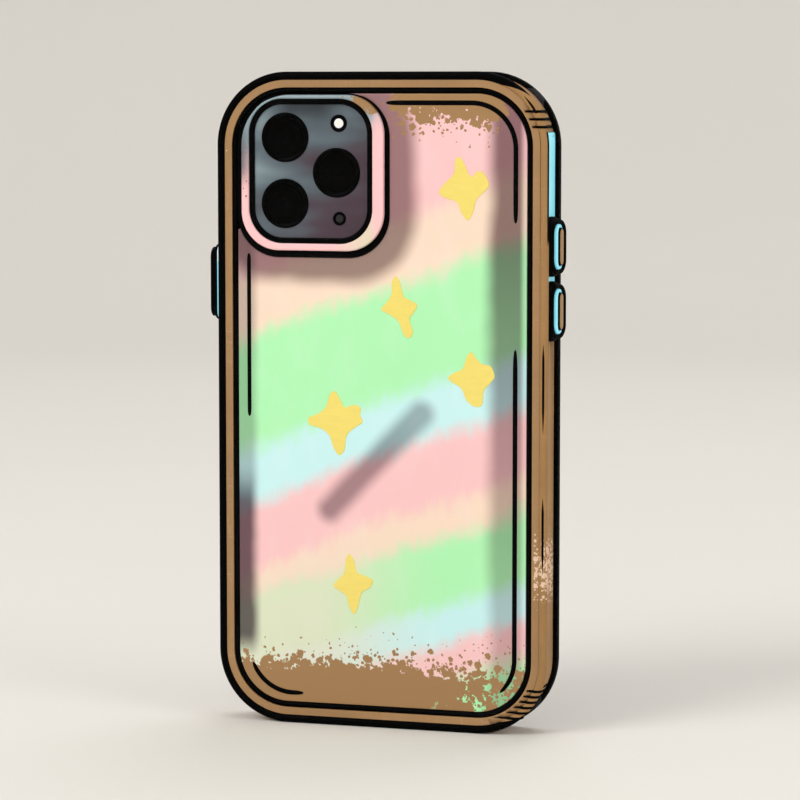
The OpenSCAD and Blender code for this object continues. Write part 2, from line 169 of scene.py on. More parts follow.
def rounded_path(corners, radii, arc=14, run=10):
    """Walks round a right-angled outline whose corners are arcs.

    Each corner gives a quarter arc, centre + r(-b cos t + a sin t) for t from 0 to a quarter turn,
    with a and b the directions before and after it, and then a straight run to the next arc.
    Returns the points and their outward unit normals."""
    p = np.asarray(corners, float)
    r = np.broadcast_to(np.asarray(radii, float), (len(p),))[:, None]
    a = p - np.roll(p, 1, axis=0)
    a = a / np.linalg.norm(a, axis=1, keepdims=True)
    b = np.roll(a, -1, axis=0)
    turn = np.sign(a[:, :1] * b[:, 1:] - a[:, 1:] * b[:, :1])
    t = np.linspace(0.0, math.pi / 2, arc)[None, :, None]
    spoke = -b[:, None] * np.cos(t) + a[:, None] * np.sin(t)
    arcs = (p - r * a + r * b)[:, None] + r[:, None] * spoke
    s = np.linspace(0.0, 1.0, run + 2)[1:-1][None, :, None]
    start = arcs[:, -1:]
    stop = np.roll(arcs[:, :1], -1, axis=0)
    runs = start * (1 - s) + stop * s
    side = np.stack([b[:, 1], -b[:, 0]], axis=1)[:, None] * np.ones_like(s)
    points = np.concatenate([arcs, runs], axis=1).reshape(-1, 2)
    normals = np.concatenate([turn[:, None] * spoke, side], axis=1).reshape(-1, 2)
    return points, normals


def box_path(lo, hi, radii, arc=14, run=10):
    """A rounded rectangle from corner lo to corner hi; radii from bottom left, counter-clockwise."""
    corners = [(lo[0], lo[1]), (hi[0], lo[1]), (hi[0], hi[1]), (lo[0], hi[1])]
    return rounded_path(corners, radii, arc, run)


def round_edge(reach, steps=6):
    """A quarter circle of radius reach as (inset, rise) pairs: inset r(1 - cos t), rise r sin t - r."""
    t = np.linspace(0.0, math.pi / 2, steps)
    return np.stack([reach * (1 - np.cos(t)), reach * (np.sin(t) - 1)], axis=1)


def edge_rows(outer, inner, front, rear):
    """Profile of a wall with two rounded front edges, as (side, inset, depth), side 0 outside."""
    a = round_edge(outer)
    b = round_edge(inner)[::-1]
    return np.concatenate([[(0, 0, rear)], np.c_[np.zeros(len(a)), a[:, 0], front - a[:, 1]],
                           np.c_[np.ones(len(b)), b[:, 0], front - b[:, 1]], [(1, 0, rear)]])


def between(outer, inner, rows):
    """Rings between two outlines: (1 - s)(P - nu) + s(Q + mu) at height h for each row (s, u, h)."""
    (p, n), (q, m) = outer, inner
    s, u, h = (np.asarray(rows, float)[:, i, None, None] for i in range(3))
    flat = (1 - s) * (p[None] - n[None] * u) + s * (q[None] + m[None] * u)
    return np.concatenate([flat, h * np.ones_like(flat[..., :1])], axis=2)


def inset(path, rows):
    """Rings parallel to one outline: P - nu at height h for each row (u, h)."""
    p, n = path
    u, h = (np.asarray(rows, float)[:, i, None, None] for i in range(2))
    flat = p[None] - n[None] * u
    return np.concatenate([flat, h * np.ones_like(flat[..., :1])], axis=2)


def gathered(loop, spine, rows):
    """Rings that draw a loop in to its spine: spine + (loop - spine)(1 - s) at height h, per (s, h)."""
    s, h = (np.asarray(rows, float)[:, i, None, None] for i in range(2))
    flat = spine + (loop[None, :, :2] - spine) * (1 - s)
    return np.concatenate([flat, h * np.ones_like(flat[..., :1])], axis=2)


def middle_line(points):
    """Each point's nearest point on the long middle line of an upright rounded rectangle."""
    half = (points.max(axis=0) - points.min(axis=0)) / 2
    mid = (points.max(axis=0) + points.min(axis=0)) / 2
    reach = half[1] - half[0]
    z = np.clip(points[:, 1], mid[1] - reach, mid[1] + reach)
    return np.stack([np.full(len(points), mid[0]), z], axis=1)


def on_back(rings):
    """Puts rings drawn in X, Z and depth from the back face into place."""
    return np.stack([rings[..., 0], BACK + rings[..., 2], rings[..., 1]], axis=-1)


def on_side(rings, side, middle):
    """Puts rings drawn in depth, height and rise onto a side wall round a middle point."""
    return np.stack([side * (HALF_WIDTH + rings[..., 2]), middle[1] + rings[..., 0],
                     middle[2] + rings[..., 1]], axis=-1)


def skin(name, rings, close="loop", sharp=38.0):
    """Joins rings of points into one closed skin.

    Point (i, j) joins (i + 1, j), (i + 1, j + 1) and (i, j + 1). Every ring closes on itself. The
    last ring joins the first for "loop", the two ends are already drawn in to a line or a point for
    "drawn", and get flat lids for "lids". Faces are turned outward when the signed volume, a sum of
    triple products, comes out negative."""
    m, n = rings.shape[:2]
    i, j = np.meshgrid(np.arange(m if close == "loop" else m - 1), np.arange(n), indexing="ij")
    i2, j2 = (i + 1) % m, (j + 1) % n
    quads = np.stack([i * n + j, i2 * n + j, i2 * n + j2, i * n + j2], axis=-1).reshape(-1, 4)
    points = rings.reshape(-1, 3)
    a, b, c, d = (points[quads[:, k]] for k in range(4))
    volume = np.einsum("ij,ij->", a, np.cross(b, c)) + np.einsum("ij,ij->", a, np.cross(c, d))
    faces = quads.tolist()
    if close == "lids":
        for lid in (np.arange(n), m * n - 1 - np.arange(n)):
            ring = points[lid]
            turn = np.cross(ring, np.roll(ring, -1, axis=0)).sum(axis=0)
            volume += ring[0] @ turn
            faces.append(lid.tolist())
    if volume < 0:
        faces = [face[::-1] for face in faces]
    mesh = bpy.data.meshes.new(name)
    mesh.from_pydata(points.tolist(), [], faces)
    return settle(name, mesh, sharp)


def settle(name, mesh, sharp=38.0):
    """Welds the mesh, smooths it up to the sharp angle and links its object at the origin."""
    bm = bmesh.new()
    bm.from_mesh(mesh)
    bmesh.ops.remove_doubles(bm, verts=bm.verts, dist=WELD)
    bmesh.ops.dissolve_degenerate(bm, edges=bm.edges, dist=WELD / 2)
    bm.to_mesh(mesh)
    bm.free()
    mesh.shade_smooth()
    mesh.set_sharp_from_angle(angle=math.radians(sharp))
    mesh.update()
    obj = bpy.data.objects.new(name, mesh)
    bpy.context.scene.collection.objects.link(obj)
    return obj


def welded(node, name):
    """A welded, smooth-shaded copy of a CAD node's mesh."""
    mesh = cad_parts[node].data.copy()
    mesh.name = name
    mesh.materials.clear()
    return settle(name, mesh, 32.0)


def turned(rows, at, count=64):
    """Turns a profile of (radius, depth) rows about the lens axis: (x + r cos t, z + r sin t)."""
    t = np.linspace(0.0, 2 * math.pi, count, endpoint=False)
    r, d = (np.asarray(rows, float)[:, i, None] for i in range(2))
    x = at[0] + r * np.cos(t)[None]
    z = at[1] + r * np.sin(t)[None]
    return on_back(np.stack([x, z, d + 0 * x], axis=-1))


def settled(obj, body, slot_name, material, *nodes):
    """Gives a finished piece its material and its place among the bodies."""
    obj.data.materials.clear()
    obj.data.materials.append(material)
    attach(obj, body)
    if nodes:
        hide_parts(*nodes)
    return obj


# ---- Shader building ----

class Value:
    """A shader socket that takes part in arithmetic; every sign adds a math node."""

    def __init__(self, sh, socket):
        self.sh = sh
        self.socket = socket

    def __add__(self, other):
        return self.sh.math("ADD", self, other)

    def __sub__(self, other):
        return self.sh.math("SUBTRACT", self, other)

    def __mul__(self, other):
        return self.sh.math("MULTIPLY", self, other)

    def __pow__(self, other):
        return self.sh.math("POWER", self, other)

    def __abs__(self):
        return self.sh.math("ABSOLUTE", self)


class Shader:
    """A small helper that adds and links nodes in one tree."""

    def __init__(self, tree):
        self.tree = tree
        self.column = 0

    def add(self, kind, **settings):
        node = self.tree.nodes.new(kind)
        node.location = (self.column * 40, -(self.column % 7) * 180)
        self.column += 1
        for key, value in settings.items():
            setattr(node, key, value)
        return node

    def link(self, value, socket):
        """Feeds a socket from a value, a number, a vector, a colour or its code; None leaves it."""
        if isinstance(value, Value):
            self.tree.links.new(value.socket, socket)
        elif isinstance(value, str):
            socket.default_value = srgb(value)
        elif isinstance(value, (int, float)):
            socket.default_value = float(value)
        elif value is not None:
            socket.default_value = tuple(value)

    def made(self, kind, given, out=0, **settings):
        """Adds a node, feeds the inputs named in given and gives one output back."""
        node = self.add(kind, **settings)
        for key, value in given.items():
            self.link(value, node.inputs[key])
        return Value(self, node.outputs[out])

    def math(self, operation, *values, clamp=False):
        return self.made("ShaderNodeMath", dict(enumerate(values)), operation=operation, use_clamp=clamp)

    def most(self, *values):
        return functools.reduce(lambda a, b: self.math("MAXIMUM", a, b), values)

    def least(self, *values):
        return functools.reduce(lambda a, b: self.math("MINIMUM", a, b), values)

    def length(self, a, b):
        return self.math("SQRT", a ** 2.0 + b ** 2.0)

    def ramp(self, value, low, high, out_low=0.0, out_high=1.0, smooth=True):
        given = dict(enumerate((value, low, high, out_low, out_high)))
        kind = "SMOOTHSTEP" if smooth else "LINEAR"
        return self.made("ShaderNodeMapRange", given, interpolation_type=kind)

    def fade(self, value, low, high, out_low=0.0, out_high=1.0, smooth=True):
        """A ramp between two levels in millimetres."""
        return self.ramp(value, low * MM, high * MM, out_low, out_high, smooth)

    def within(self, value, low, high, fade_low, fade_high):
        """One between two levels in millimetres, fading to nothing towards each."""
        return self.least(self.fade(value, low, low + fade_low),
                          self.fade(value, high - fade_high, high, 1.0, 0.0))

    def mix(self, factor, a, b, blend="MIX"):
        return self.made("ShaderNodeMix", {0: factor, 6: a, 7: b}, 2, data_type="RGBA", blend_type=blend)

    def shade(self, mask, colour, code):
        """Multiplies the colour by a shade where the mask is one."""
        return self.mix(mask, colour, self.mix(1.0, colour, code, "MULTIPLY"))

    def bands(self, value, stops, blend):
        """A run of colours through (place, colour) stops."""
        node = self.add("ShaderNodeValToRGB")
        node.color_ramp.interpolation = blend
        ramp = node.color_ramp.elements
        for i, (place, colour) in enumerate((stops[0], stops[-1])):
            ramp[i].position, ramp[i].color = place, tuple(colour)
        for place, colour in stops[1:-1]:
            ramp.new(place).color = tuple(colour)
        self.link(value, node.inputs[0])
        return Value(self, node.outputs[0])

    def noise(self, vector, scale, detail=2.0, roughness=0.5):
        given = {"Vector": vector, "Scale": scale, "Detail": detail, "Roughness": roughness}
        return self.made("ShaderNodeTexNoise", given, "Fac")

    def cells(self, vector, scale, out="Distance", feature="F1"):
        return self.made("ShaderNodeTexVoronoi", {"Vector": vector, "Scale": scale}, out, feature=feature)

    def place(self, vector, scale, turn=(0, 0, 0)):
        return self.made("ShaderNodeMapping", {"Vector": vector, "Rotation": turn, "Scale": scale})

    def plane(self, x, z):
        """X and Z as the first two parts of a vector."""
        return self.made("ShaderNodeCombineXYZ", {0: x, 1: z})

    def axes(self, vector):
        node = self.add("ShaderNodeSeparateXYZ")
        self.link(vector, node.inputs[0])
        return [Value(self, socket) for socket in node.outputs]

    def place_on_body(self, vector):
        """X, depth and height above the body's foot."""
        x, y, z = self.axes(vector)
        return x, y - BACK, z - FOOT

    def shares(self, vector, node):
        """X and Z as shares of a node's width and height."""
        lo, hi = extent(node)
        x, _, z = self.axes(vector)
        return self.ramp(x, lo[0], hi[0], smooth=False), self.ramp(z, lo[2], hi[2], smooth=False)

    def off_axis(self, vector, node):
        """Distance from a round piece's axis in X and Z."""
        mid = centre_of(node)
        x, _, z = self.axes(vector)
        return self.length(x - mid[0], z - mid[2])

    def bump(self, height, distance, strength, normal=None):
        return self.made("ShaderNodeBump", {"Height": height, "Distance": distance * MM,
                                            "Strength": strength, "Normal": normal})


def node_group(name, inputs, outputs):
    """Turns a function that wires a group into one that makes it once and adds it to a shader.

    The first input is always the vector; all others and the outputs are plain numbers."""
    def wrap(wire):
        def build():
            tree = bpy.data.node_groups.new(name, "ShaderNodeTree")
            tree.interface.new_socket(name="Vector", in_out="INPUT", socket_type="NodeSocketVector")
            for in_out, labels in (("INPUT", inputs), ("OUTPUT", outputs)):
                for label in labels:
                    tree.interface.new_socket(name=label, in_out=in_out, socket_type="NodeSocketFloat")
            sh = Shader(tree)
            given = sh.add("NodeGroupInput").outputs[:len(inputs) + 1]
            found = wire(sh, *(Value(sh, socket) for socket in given))
            for value, socket in zip(found, sh.add("NodeGroupOutput").inputs):
                sh.link(value, socket)
            return tree

        def use(sh, *given):
            node = sh.add("ShaderNodeGroup", node_tree=bpy.data.node_groups.get(name) or build())
            for value, socket in zip(given, node.inputs):
                sh.link(value, socket)
            found = [Value(sh, socket) for socket in node.outputs]
            return found if len(found) > 1 else found[0]

        use.__doc__ = wire.__doc__
        return use
    return wrap


@node_group("Moulded grain", ("Scale", "Drift", "Gloss"), ("Height", "Tone", "Roughness"))
def grain(sh, at, scale, drift, gloss):
    """Moulded grain: fine pebbles on a soft waviness, with slow drifts of tone and gloss."""
    fine = sh.noise(at, scale, 3.0, 0.6)
    pebble = sh.cells(at, scale * 0.7, feature="SMOOTH_F1")
    tone = sh.noise(at, drift, 3.0, 0.55) * 0.75 + fine * 0.25
    return fine * 0.6 + pebble * 0.5, tone, gloss + sh.ramp(tone, 0.3, 0.7, -0.07, 0.07)


@node_group("Sponged splatter", ("Scale", "Cover"), ("Mask",))
def splatter(sh, at, scale, cover):
    """Sponged paint: noise over a threshold joined with loose round drops, more of both with Cover."""
    level = sh.ramp(cover, 0.25, 1.0, 0.80, 0.28, smooth=False)
    mask = sh.ramp(sh.noise(at, scale, 3.0, 0.62) - level, 0.0, 0.03)
    x, y, z = sh.axes(at)
    ragged = sh.ramp(sh.noise(at, scale * 4.0, 2.0), 0.3, 0.7, -0.07, 0.07)
    for density, shift in ((1.0, 0.0), (2.1, 5.3)):
        drops = sh.add("ShaderNodeTexVoronoi", voronoi_dimensions="2D")
        sh.link(sh.plane(x + y + shift, z), drops.inputs["Vector"])
        sh.link(scale * density, drops.inputs["Scale"])
        left = cover - sh.axes(Value(sh, drops.outputs["Color"]))[0]
        size = sh.least(sh.math("MULTIPLY", left, 0.85, clamp=True), 0.42)
        away = Value(sh, drops.outputs["Distance"]) + ragged
        mask = sh.most(mask, sh.ramp(size - away, 0.0, 0.05) * sh.ramp(left, 0.0, 0.05))
    return mask,


@node_group("Hair scratches", ("Scale", "Amount"), ("Mask",))
def scratches(sh, at, scale, amount):
    """Hair scratches: long thin ridges of stretched noise that cross in two directions."""
    masks = []
    for turn, long in ((0.5, (1, 1, 16)), (-0.9, (14, 1, 1))):
        ridge = abs(sh.noise(sh.place(at, long, (0, turn, 0)), scale) - 0.5)
        masks.append(sh.ramp(ridge, 0.0, 0.012, 1.0, 0.0))
    return sh.most(*masks) * sh.ramp(sh.noise(at, 55.0), 0.45, 0.7) * amount,


@node_group("Rounded box distance", ("Centre X", "Centre Z", "Half X", "Half Z", "Radius"), ("Distance",))
def box_distance(sh, at, centre_x, centre_z, half_x, half_z, radius):
    """Distance outside a rounded box in X and Z: length(max(|p - c| - (half - r), 0)) - r."""
    x, _, z = sh.axes(at)
    across = sh.most(abs(x - centre_x) - (half_x - radius), 0.0)
    up = sh.most(abs(z - centre_z) - (half_z - radius), 0.0)
    return sh.length(across, up) - radius,


def look(name, **plain):
    """Turns a function that wires a finish into one that makes its material once.

    The function gives colour, roughness and normal, with None for what stays plain."""
    def wrap(wire):
        def make(label=name, *given, **options):
            if label in bpy.data.materials:
                return bpy.data.materials[label]
            material = bpy.data.materials.new(label)
            material.use_nodes = True
            sh = Shader(material.node_tree)
            surf = material.node_tree.nodes["Principled BSDF"].inputs
            for key, value in plain.items():
                sh.link(value, surf[key.replace("_", " ")])
            at = Value(sh, sh.add("ShaderNodeTexCoord").outputs["Object"])
            found = wire(sh, at, *given, **options)
            for key, value in zip(("Base Color", "Roughness", "Normal"), found):
                sh.link(value, surf[key])
            return material

        make.__doc__, make.wire = wire.__doc__, wire
        return make
    return wrap


def times(colour, factor):
    return (colour[0] * factor, colour[1] * factor, colour[2] * factor, 1.0)


# ---- Finishes ----

@look("Tan elastomer", Specular_IOR_Level=0.4)
def tan_elastomer(sh, at):
    """Matt tan elastomer with moulded grain, hair scratches and pale sponged patches on two edges."""
    tan, pale = finish().tan, finish().tan_pale
    height, tone, rough = grain(sh, at, 2600.0, 70.0, 0.56)
    colour = sh.mix(sh.ramp(tone, 0.3, 0.7), times(tan, 0.90), times(tan, 1.09))
    colour = sh.mix(scratches(sh, at, 70.0, 0.22), colour, pale)
    x, _, z = sh.place_on_body(at)
    near = sh.fade(x, 35.6, 37.2) * sh.fade(abs(z - 37.0 * MM), 4.0, 12.0, 0.66, 0.0)
    left = sh.fade(x, -37.0, -36.2, 1.0, 0.0) * sh.fade(abs(z - 132.0 * MM), 0.0, 3.0, 0.4, 0.0)
    patch = splatter(sh, at, 700.0, sh.most(near, left))
    return sh.mix(patch, colour, pale), rough, sh.bump(height, 0.03, 0.5)


@look("Two-tone piping", Specular_IOR_Level=0.03)
def two_tone_piping(sh, at):
    """The tan of the bumper with black over a part of it."""
    colour, rough, normal = tan_elastomer.wire(sh, at)
    return sh.mix(piping_black(sh, at), colour, finish().black), rough, normal


def piping_black(sh, at):
    """Where the two-tone piping is black.

    The black half slides off the outer side of the cord as it rounds the volume side's corners, and
    tapering crease lines and the inlay's border stay black beyond them."""
    x, y, z = sh.place_on_body(at)
    tall = HEAD - FOOT
    away = box_distance(sh, at, 0.0, FOOT + tall / 2, HALF_WIDTH, tall / 2, sizes().corner)
    half = sh.fade(away + sh.fade(x, 26.0, 37.4, 1.3 * MM, -1.1 * MM), -0.06, 0.06)
    marks = sh.most(sh.within(z, 141.2, 145.9, 0.2, 3.0), sh.within(z, 67.0, 90.3, 8.0, 5.0),
                    sh.within(z, 35.0, 55.4, 7.0, 5.0))
    reach = marks * (0.27 * MM) * sh.fade(x, 32.5, 34.0)
    line = (sh.fade(reach - abs(away), -0.05, 0.05)
            * (sh.fade(y, 0.1, 0.3, 1.0, 0.0) * sh.fade(reach, 0.02, 0.06)))
    border = (sh.within(z, 111.0, 137.3, 2.0, 0.4)
              * (sh.fade(y, -0.15, -0.05) * sh.fade(x, 34.0, 35.0)))
    return sh.most(half, line, border)


@look("Black elastomer", Specular_IOR_Level=0.03)
def black_elastomer(sh, at):
    """Black elastomer with fine grain and dusty drifts."""
    height, tone, rough = grain(sh, at, 3000.0, 55.0, 0.58)
    colour = sh.mix(sh.ramp(tone, 0.42, 0.75), finish().black, "#0b0b0c")
    colour = sh.mix(scratches(sh, at, 80.0, 0.1), colour, "#1e1e21")
    return colour, rough, sh.bump(height, 0.02, 0.5)


@look("Tray elastomer", Specular_IOR_Level=0.03)
def tray_elastomer(sh, at):
    """Black elastomer, a little lighter inside the tray, with a faint relief of uneven cells there.

    The cells follow X and Z only, so on the side walls they stretch into shallow pleats."""
    colour, rough, normal = black_elastomer.wire(sh, at)
    x, y, z = sh.place_on_body(at)
    tone = grain(sh, at, 3000.0, 55.0, 0.58)[1]
    inside = sh.fade(abs(x), 35.9, 36.1, 1.0, 0.0) * sh.within(z, 2.8, 147.0, 0.2, 0.2) * sh.fade(y, 1.9, 2.1)
    colour = sh.mix(inside, colour, sh.mix(sh.ramp(tone, 0.3, 0.75), "#29292c", "#38383c"))
    to_edge = sh.cells(sh.plane(x, z), 360.0, feature="DISTANCE_TO_EDGE")
    relief = sh.ramp(to_edge, 0.03, 0.16) * sh.fade(y, 2.15, 2.35)
    return colour, rough, sh.bump(relief, 0.16, 0.8, normal)


def artwork(sh, at):
    """The printed artwork: slanting pastel bands, with cream washed over the lower left."""
    f = finish()
    x, _, z = sh.place_on_body(at)
    slow = sh.noise(at, 28.0) - 0.5
    feather = sh.place(at, (1.0, 1.0, 0.4), (0, 0.45, 0))
    quick = sh.noise(feather, 420.0, 3.0, 0.6) - 0.5
    along = (z - x * 0.36) + (slow * (11.0 * MM) + quick * (5.5 * MM))
    low, high = -10, 160
    stops = ((1, f.green), (8.5, f.pink), (11.5, f.pink), (17, f.pale_blue), (20, f.pale_blue),
             (26, f.green), (36, f.green), (41.5, f.peach), (43, f.peach), (49, f.pink), (59.5, f.pink),
             (66, f.pale_blue), (72, f.pale_blue), (79, f.green), (97, f.green), (104, f.peach),
             (111.5, f.peach), (119.5, f.pink), (150, f.pink))
    shares = [((place - low) / (high - low), colour) for place, colour in stops]
    colour = sh.bands(sh.fade(along, low, high, smooth=False), shares, "EASE")
    creamy = sh.fade(along, 35, 46, 1.0, 0.0) * sh.fade(x, -18, 16, 0.82, 0.0)
    colour = sh.mix(creamy, colour, f.cream)
    wash = sh.ramp(sh.noise(feather, 170.0, 3.0, 0.6), 0.45, 0.75, 0.0, 0.08)
    return sh.mix(wash, colour, "#ffffff")


def painted_shades(sh, at, colour):
    """Multiplies the artwork by its soft shades: both edges, a halo round the camera and the bar."""
    x, _, z = sh.place_on_body(at)
    soft = (sh.noise(at, 60.0) - 0.5) * (3.0 * MM)
    # Painted shade in a band along the right edge, stronger higher up and thinning at the very edge.
    right = (sh.fade(x + soft, 23.6, 28.4) * sh.fade(x, 32.8, 34.5, 1.0, 0.25)
             * sh.fade(z, 25.0, 112.0, 0.52, 1.0, smooth=False))
    colour = sh.shade(right, colour, "#8b7d83")
    # Painted shade along the left edge, deepest between about 20 and 50 mm up.
    deep = sh.fade(z, 50, 60, 1.0, 0.5) * sh.fade(z, 13, 20)
    colour = sh.shade(sh.fade(x + soft, -32.0, -28.7, 1.0, 0.0) * deep, colour, "#6d646d")
    # Painted shadow: a soft halo round the camera guard.
    lo, hi = extent("guard_seal")
    mid, half = (lo + hi) / 2, (hi - lo) / 2
    away = box_distance(sh, at, mid[0], mid[2], half[0], half[2], 10 * MM)
    colour = sh.shade(sh.fade(away + soft, 3.4, 8.6, 0.95, 0.0), colour, "#95898c")
    # Painted shade: a soft slanting bar, a little weaker towards its upper end.
    start, stop = np.array([[-12.4, 49.8], [9.6, 72.4]]) * MM
    size = np.hypot(*(stop - start))
    ux, uz = (stop - start) / size
    dx, dz = x - start[0], z - start[1]
    along, across = dx * ux + dz * uz, dx * uz - dz * ux
    beyond = sh.most(abs(along - size / 2) - size / 2, 0.0)
    shade_bar = sh.fade(sh.length(across, beyond) + soft * 0.4, 0.8, 4.9, 1.0, 0.0)
    return sh.shade(shade_bar * sh.ramp(along, size * 0.5, size, 0.82, 0.68), colour, "#8d858e")


def sponged(sh, at, colour):
    """Adds the sponged tan along the panel's bottom and its top right."""
    x, _, z = sh.place_on_body(at)
    edge = z + (sh.noise(at, 55.0, 3.0) - 0.5) * (5.0 * MM)
    bottom = sh.fade(edge, 11.0, 25.0, 0.96, 0.0, smooth=False) ** 1.35
    over = sh.fade(x, -2.5, 5.5) * sh.fade(x, 27.5, 33, 1.0, 0.35)
    top = (sh.fade(edge, 130.0, 143.4, smooth=False) * over) ** 1.2
    corner = sh.fade(x, 8, 33) * sh.fade(z, 4, 20, 0.34, 0.0)
    cover = sh.most(bottom, top) - corner
    mask = sh.most(splatter(sh, at, 440.0, cover), sh.ramp(cover - 0.86, 0.0, 0.08))
    return sh.mix(mask, colour, finish().tan)


@look("Printed clear panel", Coat_Weight=0.28, Coat_Roughness=0.12, Specular_IOR_Level=0.2)
def printed_panel(sh, at):
    """Clear panel over printed artwork: the print's colour under a glossy, faintly scratched coat."""
    colour = sponged(sh, at, painted_shades(sh, at, artwork(sh, at)))
    scratch = scratches(sh, at, 45.0, 1.0)
    rough = sh.ramp(sh.noise(at, 120.0, 3.0), 0.35, 0.7, 0.40, 0.54) + scratch * 0.15
    ripple = sh.bump(sh.noise(at, 45.0, 1.0), 0.05, 0.4)
    return colour, rough, sh.bump(scratch, 0.008, 0.4, ripple)


@look("Clear guard", Coat_Weight=0.25, Coat_Roughness=0.1, Specular_IOR_Level=0.25)
def tinted_guard(sh, at):
    """Milky guard that carries the tints round the camera: blue grey, pink, peach and sponged tan."""
    f = finish()
    gx, gz = sh.shares(at, "camera_guard")
    soft = (sh.noise(at, 130.0, 3.0) - 0.5) * 0.35
    colour = sh.mix(sh.ramp((gz - gx * 0.25) + soft, 0.42, 0.74), f.pink, "#93a7af")
    colour = sh.mix(sh.ramp(gx, 0.62, 0.9) * sh.ramp(gz, 0.1, 0.3, 1.0, 0.0), colour, "#eadbc2")
    colour = sh.mix(sh.ramp(gx, 0.9, 0.96) * sh.ramp(gz, 0.55, 0.9, 1.0, 0.5), colour, f.pink)
    # A darker grey along the guard's left side, over the middle of its height.
    left_grey = sh.ramp(gx, 0.0, 0.1, 1.0, 0.0) * sh.within(gz, 350.0, 900.0, 200.0, 250.0)
    colour = sh.mix(left_grey * 0.8, colour, "#5c5a61")
    dots = sh.ramp(gx, 0.06, 0.1, 1.0, 0.0) * sh.ramp(abs(gz - 0.48), 0.05, 0.34, 0.34, 0.0)
    colour = sh.mix(splatter(sh, at, 720.0, dots), colour, "#26262c")
    corner = sh.ramp(gx, 0.66, 0.86) * sh.ramp(gz, 0.78, 0.93, 0.0, 0.86)
    colour = sh.mix(splatter(sh, at, 520.0, corner), colour, f.tan)
    rough = sh.ramp(sh.noise(at, 260.0, 3.0), 0.35, 0.7, 0.24, 0.38)
    return colour, rough, sh.bump(sh.noise(at, 900.0), 0.02, 0.3)


@look("Smoked glass", Coat_Weight=0.2, Coat_Roughness=0.03, Specular_IOR_Level=0.2)
def smoked_glass(sh, at):
    """Smoked cover glass: slate to plum with pale slanting streaks under a clear gloss."""
    f = finish()
    gx, gz = sh.shares(at, "camera_glass")
    # Painted reflections: pale slanting streaks and a lighter top left on the glass.
    reflection_streaks = sh.noise(sh.place(at, (0.4, 1.0, 1.5), (0, -0.62, 0)), 75.0)
    tone = (gz * 0.62 - gx * 0.62) + ((reflection_streaks - 0.5) * 1.7 - 0.08)
    stops = ((0.06, times(f.plum, 0.8)), (0.26, f.plum), (0.42, times(f.slate, 0.62)),
             (0.60, f.slate), (0.76, f.reflection_pale), (0.95, times(f.reflection_pale, 0.95)))
    colour = sh.bands(sh.ramp(tone, -0.75, 0.75, smooth=False), stops, "B_SPLINE")
    top = sh.ramp(gz, 0.74, 1.0) * sh.ramp(abs(gx - 0.45), 0.1, 0.4, 0.92, 0.0)
    rough = sh.ramp(sh.noise(at, 300.0, 3.0), 0.35, 0.7, 0.12, 0.2)
    return sh.mix(top, colour, "#262c33"), rough, sh.bump(sh.noise(at, 60.0, 1.0), 0.02, 0.3)


@look("Black metal", Specular_IOR_Level=0.03)
def black_metal(sh, at, node):
    """Satin black metal ring with fine turning lines round its own axis."""
    lines = sh.math("SINE", sh.off_axis(at, node) * 60000.0)
    dust = sh.noise(at, 900.0, 3.0)
    colour = sh.mix(sh.ramp(dust, 0.4, 0.75), "#020202", "#08080a")
    return colour, sh.ramp(dust, 0.3, 0.7, 0.30, 0.42), sh.bump(lines, 0.004, 0.5)


@look("Lens glass", Specular_IOR_Level=0.04)
def lens_glass(sh, at, node):
    """Lens window: black glass over faint stopped rings."""
    away = sh.off_axis(at, node)
    radius = extent(node)[1][0] - centre_of(node)[0]
    steps = sh.math("FRACT", away * (5.0 / radius))
    edge = sh.ramp(steps, 0.86, 0.97) * sh.ramp(away, radius * 0.2, radius * 0.9, 0.2, 1.0)
    colour = sh.mix(edge, "#010101", "#050508")
    colour = sh.mix(sh.ramp(away, 0.0, radius * 0.34, 0.5, 0.0), colour, "#07060b")
    return colour, sh.ramp(sh.noise(at, 500.0), 0.3, 0.7, 0.08, 0.16), None


@look("Flash white", Roughness=0.3, Coat_Weight=0.6, Coat_Roughness=0.08)
def flash_white(sh, at):
    """White flash window with fine ribbed rings and a faint warm phosphor centre."""
    away = sh.off_axis(at, "flash_diffuser")
    rings = sh.math("SINE", away * 26000.0)
    colour = sh.mix(sh.fade(away, 0.25, 0.7, 0.5, 0.0), "#ffffff", "#fff4cf")
    colour = sh.mix(sh.ramp(rings, -1.0, 1.0, 0.0, 0.08), colour, "#dfe4ea")
    return colour, None, sh.bump(rings, 0.03, 0.6)


@look("Dark mesh")
def dark_mesh(sh, at):
    """Fine woven metal mesh over the microphone."""
    x, _, z = sh.axes(at)
    weave = sh.most(sh.math("SINE", x * 34000.0), sh.math("SINE", z * 34000.0))
    colour = sh.mix(sh.ramp(weave, 0.0, 1.0), "#020202", "#1d1d20")
    return colour, sh.ramp(weave, 0.0, 1.0, 0.7, 0.4), sh.bump(weave, 0.05, 0.8)


